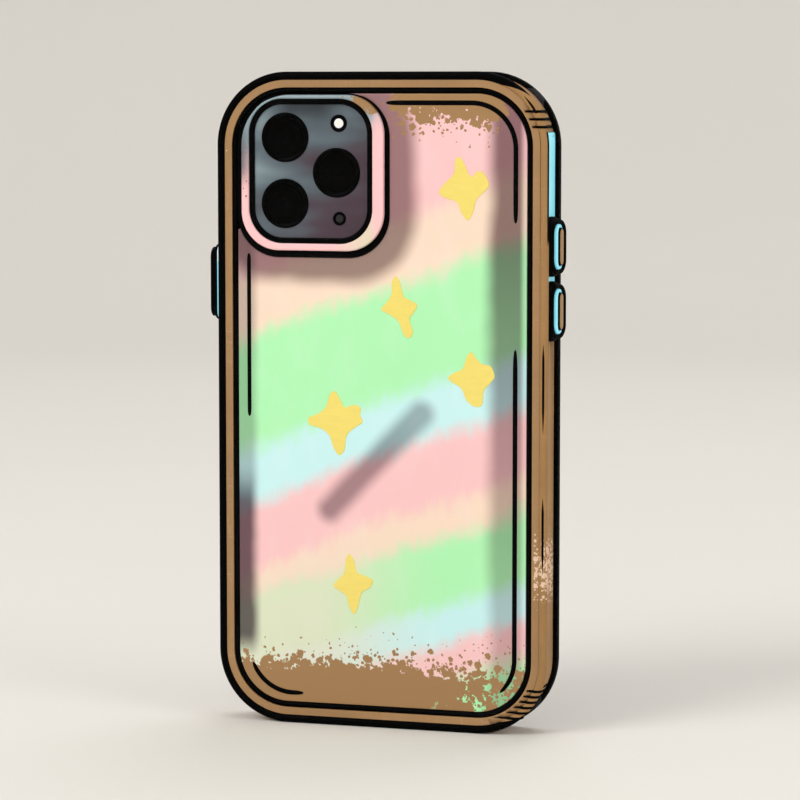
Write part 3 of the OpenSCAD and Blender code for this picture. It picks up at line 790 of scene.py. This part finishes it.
# Painted light: the faint blue emission makes the inlay and the caps glow, though they are no lamp.
@look("Light blue gloss", Coat_Weight=0.2, Coat_Roughness=0.1, Specular_IOR_Level=0.3,
      Emission_Color="#4fd6ff", Emission_Strength=0.26)
def light_blue(sh, at, highlight_above=None, cap=False):
    """Glossy light blue plastic with faint flow marks. A cap is black on its front arm, and one cap
    is white at its top."""
    blue = finish().blue
    flow = sh.noise(sh.place(at, (1, 1, 0.3)), 260.0, 3.0)
    colour = sh.mix(sh.ramp(flow, 0.35, 0.7), times(blue, 0.93), blue)
    if cap:
        colour = sh.mix(sh.fade(sh.place_on_body(at)[1], 6.5, 6.8), colour, finish().black)
    # Painted highlight: white over the top of the power cap.
    if highlight_above is not None:
        top = sh.ramp(sh.axes(at)[2], highlight_above - 0.4 * MM, highlight_above + 0.4 * MM)
        colour = sh.mix(top, colour, "#ffffff")
    height, _, rough = grain(sh, at, 2200.0, 120.0, 0.34)
    return colour, rough, sh.bump(height, 0.008, 0.3)


@look("Cushion foam", Roughness=0.9, Specular_IOR_Level=0.2)
def cushion_foam(sh, at):
    """Dark closed-cell foam with open pores."""
    pores = sh.cells(at, 1700.0, feature="SMOOTH_F1")
    return sh.mix(sh.ramp(pores, 0.1, 0.6), "#202024", "#46464c"), None, sh.bump(pores, 0.12, 0.7)


@look("Star foil", Specular_IOR_Level=0.4, Coat_Weight=0.15, Coat_Roughness=0.25)
def star_foil(sh, at):
    """Yellow paper foil: brushed tone, tiny pale flecks and a satin sheen."""
    star = finish().star
    brush = sh.noise(sh.place(at, (0.35, 1, 1.4), (0, 0.7, 0)), 800.0, 3.0)
    colour = sh.mix(sh.ramp(brush, 0.3, 0.7), times(star, 0.97), star)
    pick = sh.axes(sh.cells(at, 1300.0, "Color"))[1]
    fleck = sh.ramp(sh.cells(at, 1300.0), 0.08, 0.2, 1.0, 0.0) * sh.ramp(pick, 0.82, 0.9)
    colour = sh.mix(fleck * 0.55, colour, "#fff6c8")
    return colour, sh.ramp(brush, 0.3, 0.7, 0.42, 0.55), sh.bump(brush, 0.008, 0.3)


@look("Raised ink", Specular_IOR_Level=0.03)
def raised_ink(sh, at):
    """Raised black enamel with a slightly pebbled gloss."""
    skinny = sh.noise(at, 1500.0, 3.0)
    colour = sh.mix(sh.ramp(skinny, 0.4, 0.8), finish().black, "#09090b")
    return colour, sh.ramp(skinny, 0.3, 0.7, 0.4, 0.52), sh.bump(skinny, 0.02, 0.4)


@look("Pale floor", Roughness=0.75, Specular_IOR_Level=0.2)
def pale_floor(sh, at):
    """Matt floor and backdrop with a barely uneven tone."""
    base = finish().floor
    colour = sh.mix(sh.ramp(sh.noise(at, 3.0, 3.0), 0.3, 0.7), times(base, 0.985), base)
    return colour, None, sh.bump(sh.noise(at, 900.0), 0.05, 0.2)


# ---- Operators ----

class CASE_OT_shell(bpy.types.Operator):
    """Smooths the bumper and the inner tray, and runs the edge piping round the back"""
    bl_idname = "bumper_case.shell"
    bl_label = "Shell"

    def execute(self, context):
        settled(welded("bumper", "bumper_skin"), "case", "tan_bumper", tan_elastomer(), "bumper")
        settled(welded("inner_tray", "tray_skin"), "case", "black_elastomer", tray_elastomer(), "inner_tray")
        self.piping()
        self.ribs("grip_ribs_top", 3, HEAD - sizes().corner)
        self.ribs("grip_ribs_bottom", 6, FOOT + sizes().corner)
        return {"FINISHED"}

    def ribs(self, node, count, axis):
        """Level ribs that run down the side wall, over the piping and a little way onto the back.

        A rib's path in (u, d) is a line, an arc round the piping and a line. Its section is
        z = h cos a with 0.22 sin a outward or 0.45 sin a inward, and h fades out at the back end.
        At height z a point lies at X = c + sqrt((R - u)^2 - (z - axis)^2) on the corner."""
        lo, hi = extent(node)
        big = sizes().corner
        middle = HALF_WIDTH - big
        thick, outward, inward = 0.3 * MM, 0.22, 0.45
        around, wall_end, back_end = 1.02, 9.5, 2.25
        t = np.radians(np.linspace(64, -150, 30))
        onto_back = np.linspace(1.12, back_end, 12)
        u = np.concatenate([np.full(20, 0.08), 0.1 - around * np.cos(t), onto_back]) * MM
        d = np.concatenate([np.linspace(wall_end, 1.7, 20), 0.5 + around * np.sin(t), 0 * onto_back]) * MM
        du, dd = np.gradient(u), np.gradient(d)
        size = np.hypot(du, dd)
        out_u, out_d = dd / size, -du / size
        s = np.linspace(0, 1, len(u))
        fade = (np.clip((1 - s) / 0.25, 0, 1) ** 0.5 * np.clip(s / 0.02, 0, 1))[:, None]
        a = np.linspace(0, 2 * math.pi, 12, endpoint=False)
        deep = np.where(np.sin(a) > 0, outward, inward) * MM * np.sin(a)
        for i, z0 in enumerate(np.linspace(lo[2] + thick, hi[2] - thick, count)):
            z = z0 + thick * fade * np.cos(a)
            uu = u[:, None] + out_u[:, None] * deep * fade
            dp = d[:, None] + out_d[:, None] * deep * fade
            x = middle + np.sqrt(np.maximum((big - uu) ** 2 - (z - axis) ** 2, 0))
            rib = skin(f"{node}_{i + 1}", np.stack([x, BACK + dp, z], axis=-1), close="drawn", sharp=60)
            settled(rib, "case", "black_elastomer", black_elastomer(), node)

    def piping(self):
        """A round cord, (u, d) = middle + r(cos t, sin t), carried round the back edge."""
        lo, hi = extent("edge_piping")
        r = (hi[1] - lo[1]) / 2
        t = np.linspace(0, 2 * math.pi, 28, endpoint=False)
        path = box_path(lo[[0, 2]], hi[[0, 2]], sizes().corner + hi[0] - HALF_WIDTH, arc=48, run=40)
        rows = np.stack([r + r * np.cos(t), (lo[1] + hi[1]) / 2 - BACK + r * np.sin(t)], axis=1)
        cord = skin("piping_cord", on_back(inset(path, rows)), sharp=80)
        settled(cord, "case", "black_elastomer", two_tone_piping(), "edge_piping")


def panel_path(lo, hi, corner, opening, gap):
    """The panel's outline: the bead line, less the camera opening where the two are a gap apart.

    Both are rounded rectangles. The opening's points that keep the gap from the bead line are walked
    backwards, with their normals turned, and join the bead line's two open ends."""
    outer, out_n = box_path(lo, hi, corner, arc=24, run=150)
    inner, in_n = box_path(*opening, sizes().opening_corner, arc=40, run=20)
    kept = (inner[:, 0] > lo[0] + gap) & (inner[:, 1] < hi[1] - gap)
    inner, in_n = inner[kept][::-1], -in_n[kept][::-1]
    gone = (outer[:, 0] < inner[0, 0]) & (outer[:, 1] > inner[-1, 1])
    first = np.flatnonzero(gone).max() + 1
    outer = np.roll(outer, -first, axis=0)[:np.count_nonzero(~gone)]
    out_n = np.roll(out_n, -first, axis=0)[:np.count_nonzero(~gone)]
    return np.concatenate([outer, inner]), np.concatenate([out_n, in_n])


class CASE_OT_back(bpy.types.Operator):
    """Makes the clear back panel with its rounded edge, and the film behind it"""
    bl_idname = "bumper_case.back"
    bl_label = "Back panel"

    def execute(self, context):
        size = sizes()
        seal_lo, seal_hi = extent("guard_seal")
        opening = (seal_lo[[0, 2]], seal_hi[[0, 2]])
        for node, edge, slot_name, material in (
                ("back_panel", size.panel_edge, "clear_back", printed_panel()),
                ("artwork_film", 0.03 * MM, "printed_film", printed_panel("Printed film"))):
            lo, hi = extent(node)
            path = panel_path(lo[[0, 2]], hi[[0, 2]], size.corner - size.bead, opening, 2.4 * edge)
            front, rear = depths(node)
            curve = round_edge(edge)
            wall = np.concatenate([[(0.0, rear)], np.c_[curve[:, 0], front - curve[:, 1]]])
            obj = skin(node + "_sheet", on_back(inset(path, wall)), close="lids")
            settled(obj, "case", slot_name, material, node)
        return {"FINISHED"}


class CASE_OT_camera_corner(bpy.types.Operator):
    """Makes the seal, the raised guard, the black bezel and the smoked cover glass"""
    bl_idname = "bumper_case.camera_corner"
    bl_label = "Camera corner"

    def execute(self, context):
        size = sizes()
        bead_corner = size.corner - size.bead
        seal = self.outline("guard_seal", size.opening_corner, bead_corner)
        guard = self.outline("camera_guard", size.guard_corner, bead_corner - 0.3 * MM)
        bezel = self.outline("camera_bezel", size.bezel_corner)
        self.ring("seal_ring", "guard_seal", seal, guard, 0.12 * MM, 0.05 * MM, "black_elastomer",
                  black_elastomer())
        self.ring("guard_ring", "camera_guard", guard, bezel, size.guard_edge, size.guard_edge,
                  "clear_guard", tinted_guard())
        self.bezel(bezel)
        glass = welded("camera_glass", "cover_glass")
        settled(glass, "case", "smoked_glass", smoked_glass(), "camera_glass")
        return {"FINISHED"}

    def outline(self, node, corner, top_left=None):
        lo, hi = extent(node)
        radii = [corner, corner, corner, top_left or corner]
        return box_path(lo[[0, 2]], hi[[0, 2]], radii, arc=24, run=12)

    def ring(self, name, node, outer, inner, outer_edge, inner_edge, slot_name, material):
        front, rear = depths(node)
        rows = edge_rows(outer_edge, inner_edge, front, rear)
        settled(skin(name, on_back(between(outer, inner, rows))), "case", slot_name, material, node)

    def bezel(self, outer):
        """The bezel's section: a rounded wall with a ledge behind the glass, carried round its outline."""
        size = sizes()
        front, rear = depths("camera_bezel")
        glass = depths("camera_glass")[1]
        step = glass + 0.6 * MM
        edge = round_edge(0.3 * MM)
        wide, deep = size.bezel_width, size.bezel_width + size.bezel_ledge
        rows = np.concatenate([
            [(0, rear)], np.c_[edge[:, 0], front - edge[:, 1]],
            np.c_[wide - edge[::-1, 0], front - edge[::-1, 1]],
            [(wide, glass), (deep, glass), (deep, step), (wide, step), (wide, rear)]])
        obj = skin("bezel_ring", on_back(inset(outer, rows)))
        settled(obj, "case", "black_metal", black_metal("Bezel metal", "camera_bezel"), "camera_bezel")


class CASE_OT_lenses(bpy.types.Operator):
    """Turns the three lens rings and windows, the flash and the microphone"""
    bl_idname = "bumper_case.lenses"
    bl_label = "Lenses"

    def execute(self, context):
        for i in (1, 2, 3):
            self.ring(f"lens_ring_{i}", f"lens_glass_{i}", sizes().lens_edge)
            glass = lens_glass(f"Lens glass {i}", f"lens_glass_{i}")
            self.window(f"lens_glass_{i}", 0.22 * MM, "lens_glass", glass)
        self.ring("flash_ring", "flash_diffuser", 0.12 * MM)
        self.window("flash_diffuser", 0.1 * MM, "flash_white", flash_white())
        self.ring("mic_ring", "mic_mesh", 0.12 * MM)
        self.window("mic_mesh", 0.05 * MM, "dark_mesh", dark_mesh())
        return {"FINISHED"}

    def radius(self, node):
        lo, hi = extent(node)
        return (hi[0] - lo[0]) / 2

    def ring(self, node, window, edge):
        """A ring's section, two rounded edges with a chamfer down to the window, turned about its axis."""
        front, rear = depths(node)
        outer, inner = self.radius(node), self.radius(window)
        wide = outer - inner
        curve = round_edge(edge)
        rows = np.concatenate([
            [(outer, rear)], np.c_[outer - curve[:, 0], front - curve[:, 1]],
            [(inner + wide * 0.42, front), (inner + wide * 0.12, front + 0.14 * MM),
             (inner, front + 0.24 * MM), (inner, rear)]])
        obj = skin(node + "_turned", turned(rows, centre_of(node)[[0, 2]]))
        settled(obj, "case", "black_metal", black_metal(node.replace("_", " ").capitalize(), node), node)

    def window(self, node, crown, slot_name, material):
        """A window's crown: depth = front + crown (r / R) squared, closed at both poles."""
        front, rear = depths(node)
        radius = self.radius(node)
        s = np.linspace(1.0, 0.0, 10)
        top = np.c_[radius * s, front + crown * s ** 2]
        rows = np.concatenate([[(0, rear), (radius, rear)], top])
        settled(skin(node + "_window", turned(rows, centre_of(node)[[0, 2]]), close="drawn"), "case",
                slot_name, material, node)


class CASE_OT_inlay(bpy.types.Operator):
    """Finishes the light inlay on the volume side"""
    bl_idname = "bumper_case.inlay"
    bl_label = "Side inlay"

    def execute(self, context):
        settled(welded("side_inlay", "inlay_strip"), "case", "light_blue", light_blue(), "side_inlay")
        return {"FINISHED"}


class CASE_OT_buttons(bpy.types.Operator):
    """Makes the three side buttons, each with its cap, pad and plunger, and their fixed collars"""
    bl_idname = "bumper_case.buttons"
    bl_label = "Side buttons"

    def execute(self, context):
        for name, side in BUTTON_SIDES.items():
            body = name + "_button"
            middle = centre_of(name + "_plunger")
            self.collar(name, side, middle)
            self.cap(name, side, middle, body)
            self.pad(name, side, middle, body)
            self.plunger(name, side, middle, body)
        return {"FINISHED"}

    def outline(self, width, tall):
        return box_path((-width / 2, -tall / 2), (width / 2, tall / 2), width / 2 - 0.3 * MM, 12, 8)

    def rises(self, node, side):
        """A node's lowest and highest rise from the body's outline."""
        return sorted(side * end[0] - HALF_WIDTH for end in extent(node))

    def height(self, name):
        """The height of a button's cap without its flange."""
        lo, hi = extent(name + "_cap")
        return hi[2] - lo[2] - 2 * CAP_FLANGE

    def cap(self, name, side, middle, body):
        """The cap's section, a rounded rim over a hidden flange, carried round the button's outline."""
        size = sizes()
        node = name + "_cap"
        low, high = self.rises(node, side)
        flange = low + 0.25 * MM
        edge = round_edge(0.4 * MM)
        rim = size.button_rim
        rows = np.concatenate([
            [(-CAP_FLANGE, low), (-CAP_FLANGE, flange), (0, flange)],
            np.c_[edge[:, 0], high + edge[:, 1]], np.c_[rim - edge[::-1, 0], high + edge[::-1, 1]],
            [(rim, low)]])
        outline = self.outline(size.button_width, self.height(name))
        obj = skin(name + "_cap_rim", on_side(inset(outline, rows), side, middle))
        # The power cap gets a painted white highlight above this height.
        white = middle[2] + 4.8 * MM if name == "power" else None
        material = light_blue("Power cap" if white else "Button cap", white, cap=True)
        settled(obj, body, "light_blue", material, node)

    def pad(self, name, side, middle, body):
        """A crowned pad: rise = shoulder + crown (1 - (1 - s)^2.4) as the outline draws in to its line.

        The power button's black pad is as wide as its cap and has sloping ends."""
        node = name + "_pad"
        lo, hi = extent(node)
        low, high = self.rises(node, side)
        foot = crest = self.outline(hi[1] - lo[1], hi[2] - lo[2])
        crown = 0.12 * MM
        walls = np.zeros((0, 3))
        slot_name, material = "tan_pad", tan_elastomer("Tan pad")
        if name == "power":
            crest = self.outline(hi[1] - lo[1] - 0.6 * MM, hi[2] - lo[2] - 2.4 * MM)
            t = np.linspace(0.2, 0.8, 4)
            walls = np.c_[t, 0 * t, low + 0.3 * MM + (high - crown - 0.6 * MM - low) * t]
            slot_name, material = "black_elastomer", black_elastomer()
        edge = round_edge(0.3 * MM)
        rows = np.concatenate([[(0, 0, low)], walls,
                               np.c_[np.ones(len(edge)), edge[:, 0], high - crown + edge[:, 1]]])
        rim = between(foot, crest, rows)
        s = np.linspace(0.12, 1.0, 8)
        face = gathered(rim[-1], middle_line(crest[0]), np.c_[s, high - crown * (1 - s) ** 2.4])
        floor = gathered(rim[0], middle_line(foot[0]), [(1.0, low)])
        rings = np.concatenate([floor, rim, face])
        obj = skin(name + "_finger_pad", on_side(rings, side, middle), close="drawn")
        settled(obj, body, slot_name, material, node)

    def plunger(self, name, side, middle, body):
        """The core: a head that fills the cap's window, drawn in to a slimmer stem behind it."""
        size = sizes()
        node = name + "_plunger"
        low, high = self.rises(node, side)
        tall = self.height(name)
        head = self.outline(size.button_width - 2 * size.button_rim, tall - 2 * size.button_rim)
        stem = self.outline(2.4 * MM, tall - 4 * MM)
        base = self.rises(name + "_cap", side)[0]
        edge = round_edge(0.15 * MM)
        rows = np.concatenate([[(1, 0, low), (1, 0, base), (0, 0, base)],
                               np.c_[np.zeros(len(edge)), edge[:, 0], high + edge[:, 1]]])
        body_rings = between(head, stem, rows)
        face = gathered(body_rings[-1], middle_line(head[0]), [(0.5, high), (1.0, high)])
        tip = gathered(body_rings[0], middle_line(stem[0]), [(1.0, low)])
        rings = np.concatenate([tip, body_rings, face])
        obj = skin(name + "_core", on_side(rings, side, middle), close="drawn")
        settled(obj, body, "black_elastomer", black_elastomer(), node)

    def collar(self, name, side, middle):
        """The collar's section: a foot whose shoulders rise in an S curve to a rounded rim.

        The rim's height grows evenly from the back to the front."""
        size = sizes()
        node = name + "_collar"
        lo, hi = extent(node)
        low, high = self.rises(node, side)
        gap = 2 * size.button_gap
        foot = self.outline(hi[1] - lo[1], hi[2] - lo[2])
        crest = self.outline(hi[1] - lo[1] - 0.5 * MM, hi[2] - lo[2] - 2 * size.shoulder - 0.2 * MM)
        hole = self.outline(size.button_width + gap, self.height(name) + gap)
        near = 1.5 * MM
        t = np.linspace(0.0, 1.0, 8)
        blend = t * t * (3 - 2 * t)
        slope = np.c_[blend, 0 * t, 0.3 * near + 0.5 * near * t]
        outer = between(foot, crest, np.concatenate([[(0, 0, low)], slope]))
        edge = round_edge(0.22 * MM)
        rows = np.concatenate([np.c_[np.zeros(len(edge)), edge[:, 0], near + edge[:, 1]],
                               np.c_[np.ones(len(edge)), edge[::-1, 0], near + edge[::-1, 1]], [(1, 0, low)]])
        rings = np.concatenate([outer, between(crest, hole, rows)])
        half = (hi[1] - lo[1]) / 2
        rise = near + (high - near) * np.clip((rings[..., 0] + half) / (2 * half - 0.15 * MM), 0, 1)
        rings[..., 2] = np.where(rings[..., 2] > 0, rings[..., 2] * rise / near, rings[..., 2])
        obj = skin(name + "_collar_ring", on_side(rings, side, middle))
        settled(obj, "case", "black_elastomer", black_elastomer(), node)


class CASE_OT_cushions(bpy.types.Operator):
    """Makes the four foam cushions in the bumper's corners"""
    bl_idname = "bumper_case.cushions"
    bl_label = "Corner cushions"

    def execute(self, context):
        """A pillow section, its corners eased by a superellipse, swung about the corner's axis."""
        size = sizes()
        for name, sx, sz in (("top_right", 1, 1), ("top_left", -1, 1), ("bottom_left", -1, -1),
                             ("bottom_right", 1, -1)):
            lo, hi = extent("cushion_" + name)
            axis = np.array([sx * (HALF_WIDTH - size.corner),
                             (HEAD + FOOT) / 2 + sz * ((HEAD - FOOT) / 2 - size.corner)])
            outer = size.corner - 0.92 * MM
            radial, deep = 0.42 * MM, (hi[1] - lo[1]) / 2
            t = np.linspace(0, 2 * math.pi, 28, endpoint=False)
            ease = 2.0 / 6.0
            a = radial * np.sign(np.cos(t)) * np.abs(np.cos(t)) ** ease
            b = deep * np.sign(np.sin(t)) * np.abs(np.sin(t)) ** ease
            turn = math.radians(45) + math.radians(25.5) * np.linspace(-1, 1, 26)
            taper = np.clip(1 - np.abs(np.linspace(-1, 1, 26)) ** 24, 0.0, 1.0)[:, None]
            r = outer - radial + a[None] * taper
            x = axis[0] + sx * r * np.cos(turn)[:, None]
            z = axis[1] + sz * r * np.sin(turn)[:, None]
            y = (lo[1] + hi[1]) / 2 + b[None] * taper
            obj = skin("foam_" + name, np.stack([x, y + 0 * x, z], axis=-1), close="drawn")
            settled(obj, "case", "cushion_foam", cushion_foam(), "cushion_" + name)
        return {"FINISHED"}


STAR_OUTLINES = {
    1: [(-1.2, 7.1), (0.0, 5.4), (1.4, 2.7), (3.2, 3.9), (4.5, 3.4), (5.7, 0.9), (4.2, -1.1), (2.7, -2.6),
        (2.0, -5.2), (0.8, -7.2), (-0.7, -5.6), (-1.9, -3.1), (-4.6, -2.2), (-6.1, -0.9), (-4.6, 1.2),
        (-2.6, 3.3), (-2.2, 6.3)],
    2: [(-1.1, 7.0), (-0.2, 5.2), (0.6, 2.6), (2.4, 1.5), (3.8, 0.6), (3.0, -1.2), (2.0, -2.8), (2.8, -5.6),
        (1.9, -7.1), (0.5, -6.0), (-0.7, -3.2), (-2.9, -1.7), (-4.8, -0.6), (-3.6, 0.9), (-2.3, 3.0),
        (-2.1, 6.0)],
    3: [(0.0, 6.1), (1.0, 4.8), (2.6, 3.4), (4.4, 3.1), (5.4, 0.8), (4.4, -0.8), (2.9, -2.6), (2.4, -5.9),
        (0.6, -6.2), (-1.2, -4.9), (-2.5, -2.2), (-4.6, -0.9), (-5.6, 0.2), (-4.2, 1.3), (-2.1, 2.4),
        (-1.1, 5.2)],
    4: [(-0.2, 7.1), (0.9, 5.6), (2.2, 3.5), (4.2, 4.1), (6.1, 3.5), (5.9, 1.8), (6.5, 0.2), (4.6, -1.2),
        (2.7, -3.0), (2.1, -6.4), (0.8, -7.6), (-0.6, -5.8), (-1.6, -3.1), (-3.8, -1.5), (-6.3, -0.8),
        (-6.6, 0.8), (-4.2, 1.9), (-2.3, 3.6), (-1.4, 6.4)],
    5: [(-0.7, 6.9), (0.3, 5.4), (1.0, 2.8), (3.0, 2.0), (4.9, 1.0), (4.1, -0.7), (2.2, -2.0), (1.4, -4.8),
        (0.4, -7.1), (-0.8, -5.4), (-1.6, -2.8), (-3.4, -1.6), (-4.7, -0.6), (-3.6, 0.8), (-2.0, 2.6),
        (-1.6, 5.8)],
}


class CASE_OT_stars(bpy.types.Operator):
    """Makes the five raised foil stars on the panel"""
    bl_idname = "bumper_case.stars"
    bl_label = "Stars"

    def execute(self, context):
        for i, knots in STAR_OUTLINES.items():
            self.star(f"star_{i}", np.array(knots) * MM)
        return {"FINISHED"}

    def spline(self, knots, steps=7):
        """A closed smooth curve through the knots: each stretch is the usual cubic of four neighbours."""
        t = np.linspace(0, 1, steps, endpoint=False)[None, :, None]
        p0, p1, p2, p3 = (np.roll(knots, k, axis=0)[:, None] for k in (1, 0, -1, -2))
        curve = p1 + 0.5 * t * (p2 - p0 + t * (2 * p0 - 5 * p1 + 4 * p2 - p3 + t * (3 * (p1 - p2) + p3 - p0)))
        return curve.reshape(-1, 2)

    def star(self, node, knots):
        """A low dome: depth = edge + rise (1 - (1 - s)^2) as the outline draws in to its middle."""
        lo, hi = extent(node)
        high, low = depths(node)
        line = self.spline(knots)
        line = line - (line.max(axis=0) + line.min(axis=0)) / 2 + (lo + hi)[[0, 2]] / 2
        edge = high + (low - high) * 0.45
        brow = edge - 0.03 * MM
        s = np.linspace(0.06, 1.0, 9)
        rows = np.concatenate([[(1.0, low), (0.0, low), (0.0, edge), (0.02, brow)],
                               np.c_[s, brow + (high - brow) * (1 - (1 - s) ** 2)]])
        obj = skin(node + "_foil", on_back(gathered(line, line.mean(axis=0), rows)), close="drawn", sharp=50)
        settled(obj, "case", "star_foil", star_foil(), node)


class CASE_OT_lines(bpy.types.Operator):
    """Makes the raised contour lines with their tapering ends"""
    bl_idname = "bumper_case.lines"
    bl_label = "Contour lines"

    def execute(self, context):
        """A crowned section whose width swells as (1 - |2s - 1|^n)^0.5, carried along part of the line."""
        half = sizes().line_width / 2
        step = 0.5 * MM
        left = extent("accent_left")[0][0] + step
        foot = extent("accent_bottom_left")[0][2] + step
        top = extent("accent_top_right")[1][2] - step
        path, _ = box_path((left, foot), (-left, top), 10.4 * MM, arc=160, run=700)
        path = np.concatenate([path, path[:1]])
        for node, ease, thin in (("accent_top_right", 22, 1.0), ("accent_right", 20, 1.0),
                                 ("accent_left", 26, 0.86), ("accent_bottom_left", 7, 1.0)):
            self.line(node, path, half * thin, ease)
        return {"FINISHED"}

    def line(self, node, path, half, ease):
        lo, hi = extent(node)
        inside = np.all((path > lo[[0, 2]] - 1e-6) & (path < hi[[0, 2]] + 1e-6), axis=1)
        along = np.concatenate([[0], np.cumsum(np.linalg.norm(np.diff(path, axis=0), axis=1))])
        total = along[-1]
        kept = along[inside]
        if kept.max() - kept.min() > total / 2:
            kept = np.where(kept < total / 2, kept + total, kept)
        s = np.linspace(kept.min(), kept.max(), 160) % total
        mid = np.stack([np.interp(s, along, path[:, k]) for k in (0, 1)], axis=1)
        ahead = np.gradient(mid, axis=0)
        ahead = ahead / np.linalg.norm(ahead, axis=1, keepdims=True)
        across = np.stack([-ahead[:, 1], ahead[:, 0]], axis=1)
        t = np.linspace(-1, 1, 160)
        wide = half * np.clip(1 - np.abs(t) ** ease, 0, 1) ** 0.5
        a = np.linspace(0, 2 * math.pi, 16, endpoint=False)
        high, low = depths(node)
        flat = mid[:, None] + across[:, None] * (wide[:, None] * np.cos(a)[None])[..., None]
        swell = (wide / half)[:, None] ** 0.6
        deep = low + (high - low) * np.clip(np.sin(a), 0, 1)[None] * swell
        rings = np.concatenate([flat, deep[..., None]], axis=2)
        rings[[0, -1]] = np.c_[mid[[0, -1]], [low, low]][:, None]
        obj = skin(node + "_line", on_back(rings), close="drawn", sharp=60)
        settled(obj, "case", "raised_ink", raised_ink(), node)


class CASE_OT_stage(bpy.types.Operator):
    """Makes the pale floor and backdrop, the soft lights and the camera"""
    bl_idname = "bumper_case.stage"
    bl_label = "Stage"

    def execute(self, context):
        """A bowl: level out to 1.1 m, then a quarter arc up to a wall, turned about the vertical."""
        stage = context.scene.case_stage
        t = np.linspace(0, math.pi / 2, 24)
        r = np.concatenate([[0.0, 0.25, 0.6], 1.1 + 0.9 * np.sin(t), [2.0]])
        z = np.concatenate([[0.0, 0.0, 0.0], 0.9 - 0.9 * np.cos(t), [2.6]])
        a = np.linspace(0, 2 * math.pi, 96, endpoint=False)
        rings = np.stack([r[:, None] * np.cos(a), r[:, None] * np.sin(a), z[:, None] + 0 * a], axis=-1)
        floor = skin("floor", rings, close="drawn", sharp=80)
        floor.data.materials.append(pale_floor())
        self.light("key", (-0.75, -1.15, 1.15), 0.9, stage.key)
        self.light("fill", (1.35, -0.55, 0.75), 0.9, stage.fill)
        self.light("top", (0.1, 0.75, 1.5), 1.0, stage.top)
        world = bpy.data.worlds.new("Even light")
        world.use_nodes = True
        sky = world.node_tree.nodes["Background"].inputs
        sky["Color"].default_value = srgb("#f4f4f8")
        sky["Strength"].default_value = stage.ambient
        context.scene.world = world
        lens = bpy.data.cameras.new("camera")
        lens.lens = stage.lens
        lens.sensor_width = 36.0
        lens.clip_start = 0.01
        camera = bpy.data.objects.new("camera", lens)
        camera.location = stage.camera
        camera.rotation_euler = (math.pi / 2 - stage.tilt, 0.0, stage.turn)
        context.scene.collection.objects.link(camera)
        context.scene.camera = camera
        context.scene.view_settings.view_transform = "Standard"
        return {"FINISHED"}

    def light(self, name, place, size, power):
        lamp = bpy.data.lights.new(name, "AREA")
        lamp.shape = "DISK"
        lamp.size = size
        lamp.energy = power
        obj = bpy.data.objects.new(name, lamp)
        obj.location = place
        aim = np.array([0.0, 0.0, 0.075]) - np.array(place)
        flat = math.hypot(aim[0], aim[1])
        turn = math.atan2(aim[1], aim[0]) - math.pi / 2
        obj.rotation_euler = (math.atan2(flat, -aim[2]), 0.0, turn)
        bpy.context.scene.collection.objects.link(obj)


class CASE_PT_sidebar(bpy.types.Panel):
    """Lists the case's pieces and settings"""
    bl_idname = "CASE_PT_sidebar"
    bl_label = "Bumper Case"
    bl_space_type = "VIEW_3D"
    bl_region_type = "UI"
    bl_category = "Bumper Case"

    def draw(self, context):
        layout = self.layout
        for operator in OPERATORS:
            layout.operator(operator.bl_idname)
        for title, group in (("Sizes", context.scene.case_sizes), ("Finish", context.scene.case_finish),
                             ("Stage", context.scene.case_stage)):
            box = layout.box()
            box.label(text=title)
            for key in group.__annotations__:
                box.prop(group, key)


OPERATORS = (CASE_OT_shell, CASE_OT_back, CASE_OT_camera_corner, CASE_OT_lenses, CASE_OT_inlay,
             CASE_OT_buttons, CASE_OT_cushions, CASE_OT_stars, CASE_OT_lines, CASE_OT_stage)
CLASSES = (CaseSizes, CaseFinish, CaseStage) + OPERATORS + (CASE_PT_sidebar,)


def register():
    for cls in CLASSES:
        bpy.utils.register_class(cls)
    bpy.types.Scene.case_sizes = bpy.props.PointerProperty(type=CaseSizes)
    bpy.types.Scene.case_finish = bpy.props.PointerProperty(type=CaseFinish)
    bpy.types.Scene.case_stage = bpy.props.PointerProperty(type=CaseStage)


def unregister():
    del bpy.types.Scene.case_stage
    del bpy.types.Scene.case_finish
    del bpy.types.Scene.case_sizes
    for cls in reversed(CLASSES):
        bpy.utils.unregister_class(cls)


def main():
    """Builds every piece in order and writes the two boxes."""
    register()
    for operator in OPERATORS:
        group, name = operator.bl_idname.split(".")
        getattr(getattr(bpy.ops, group), name)()


if __name__ == "__main__":
    main()
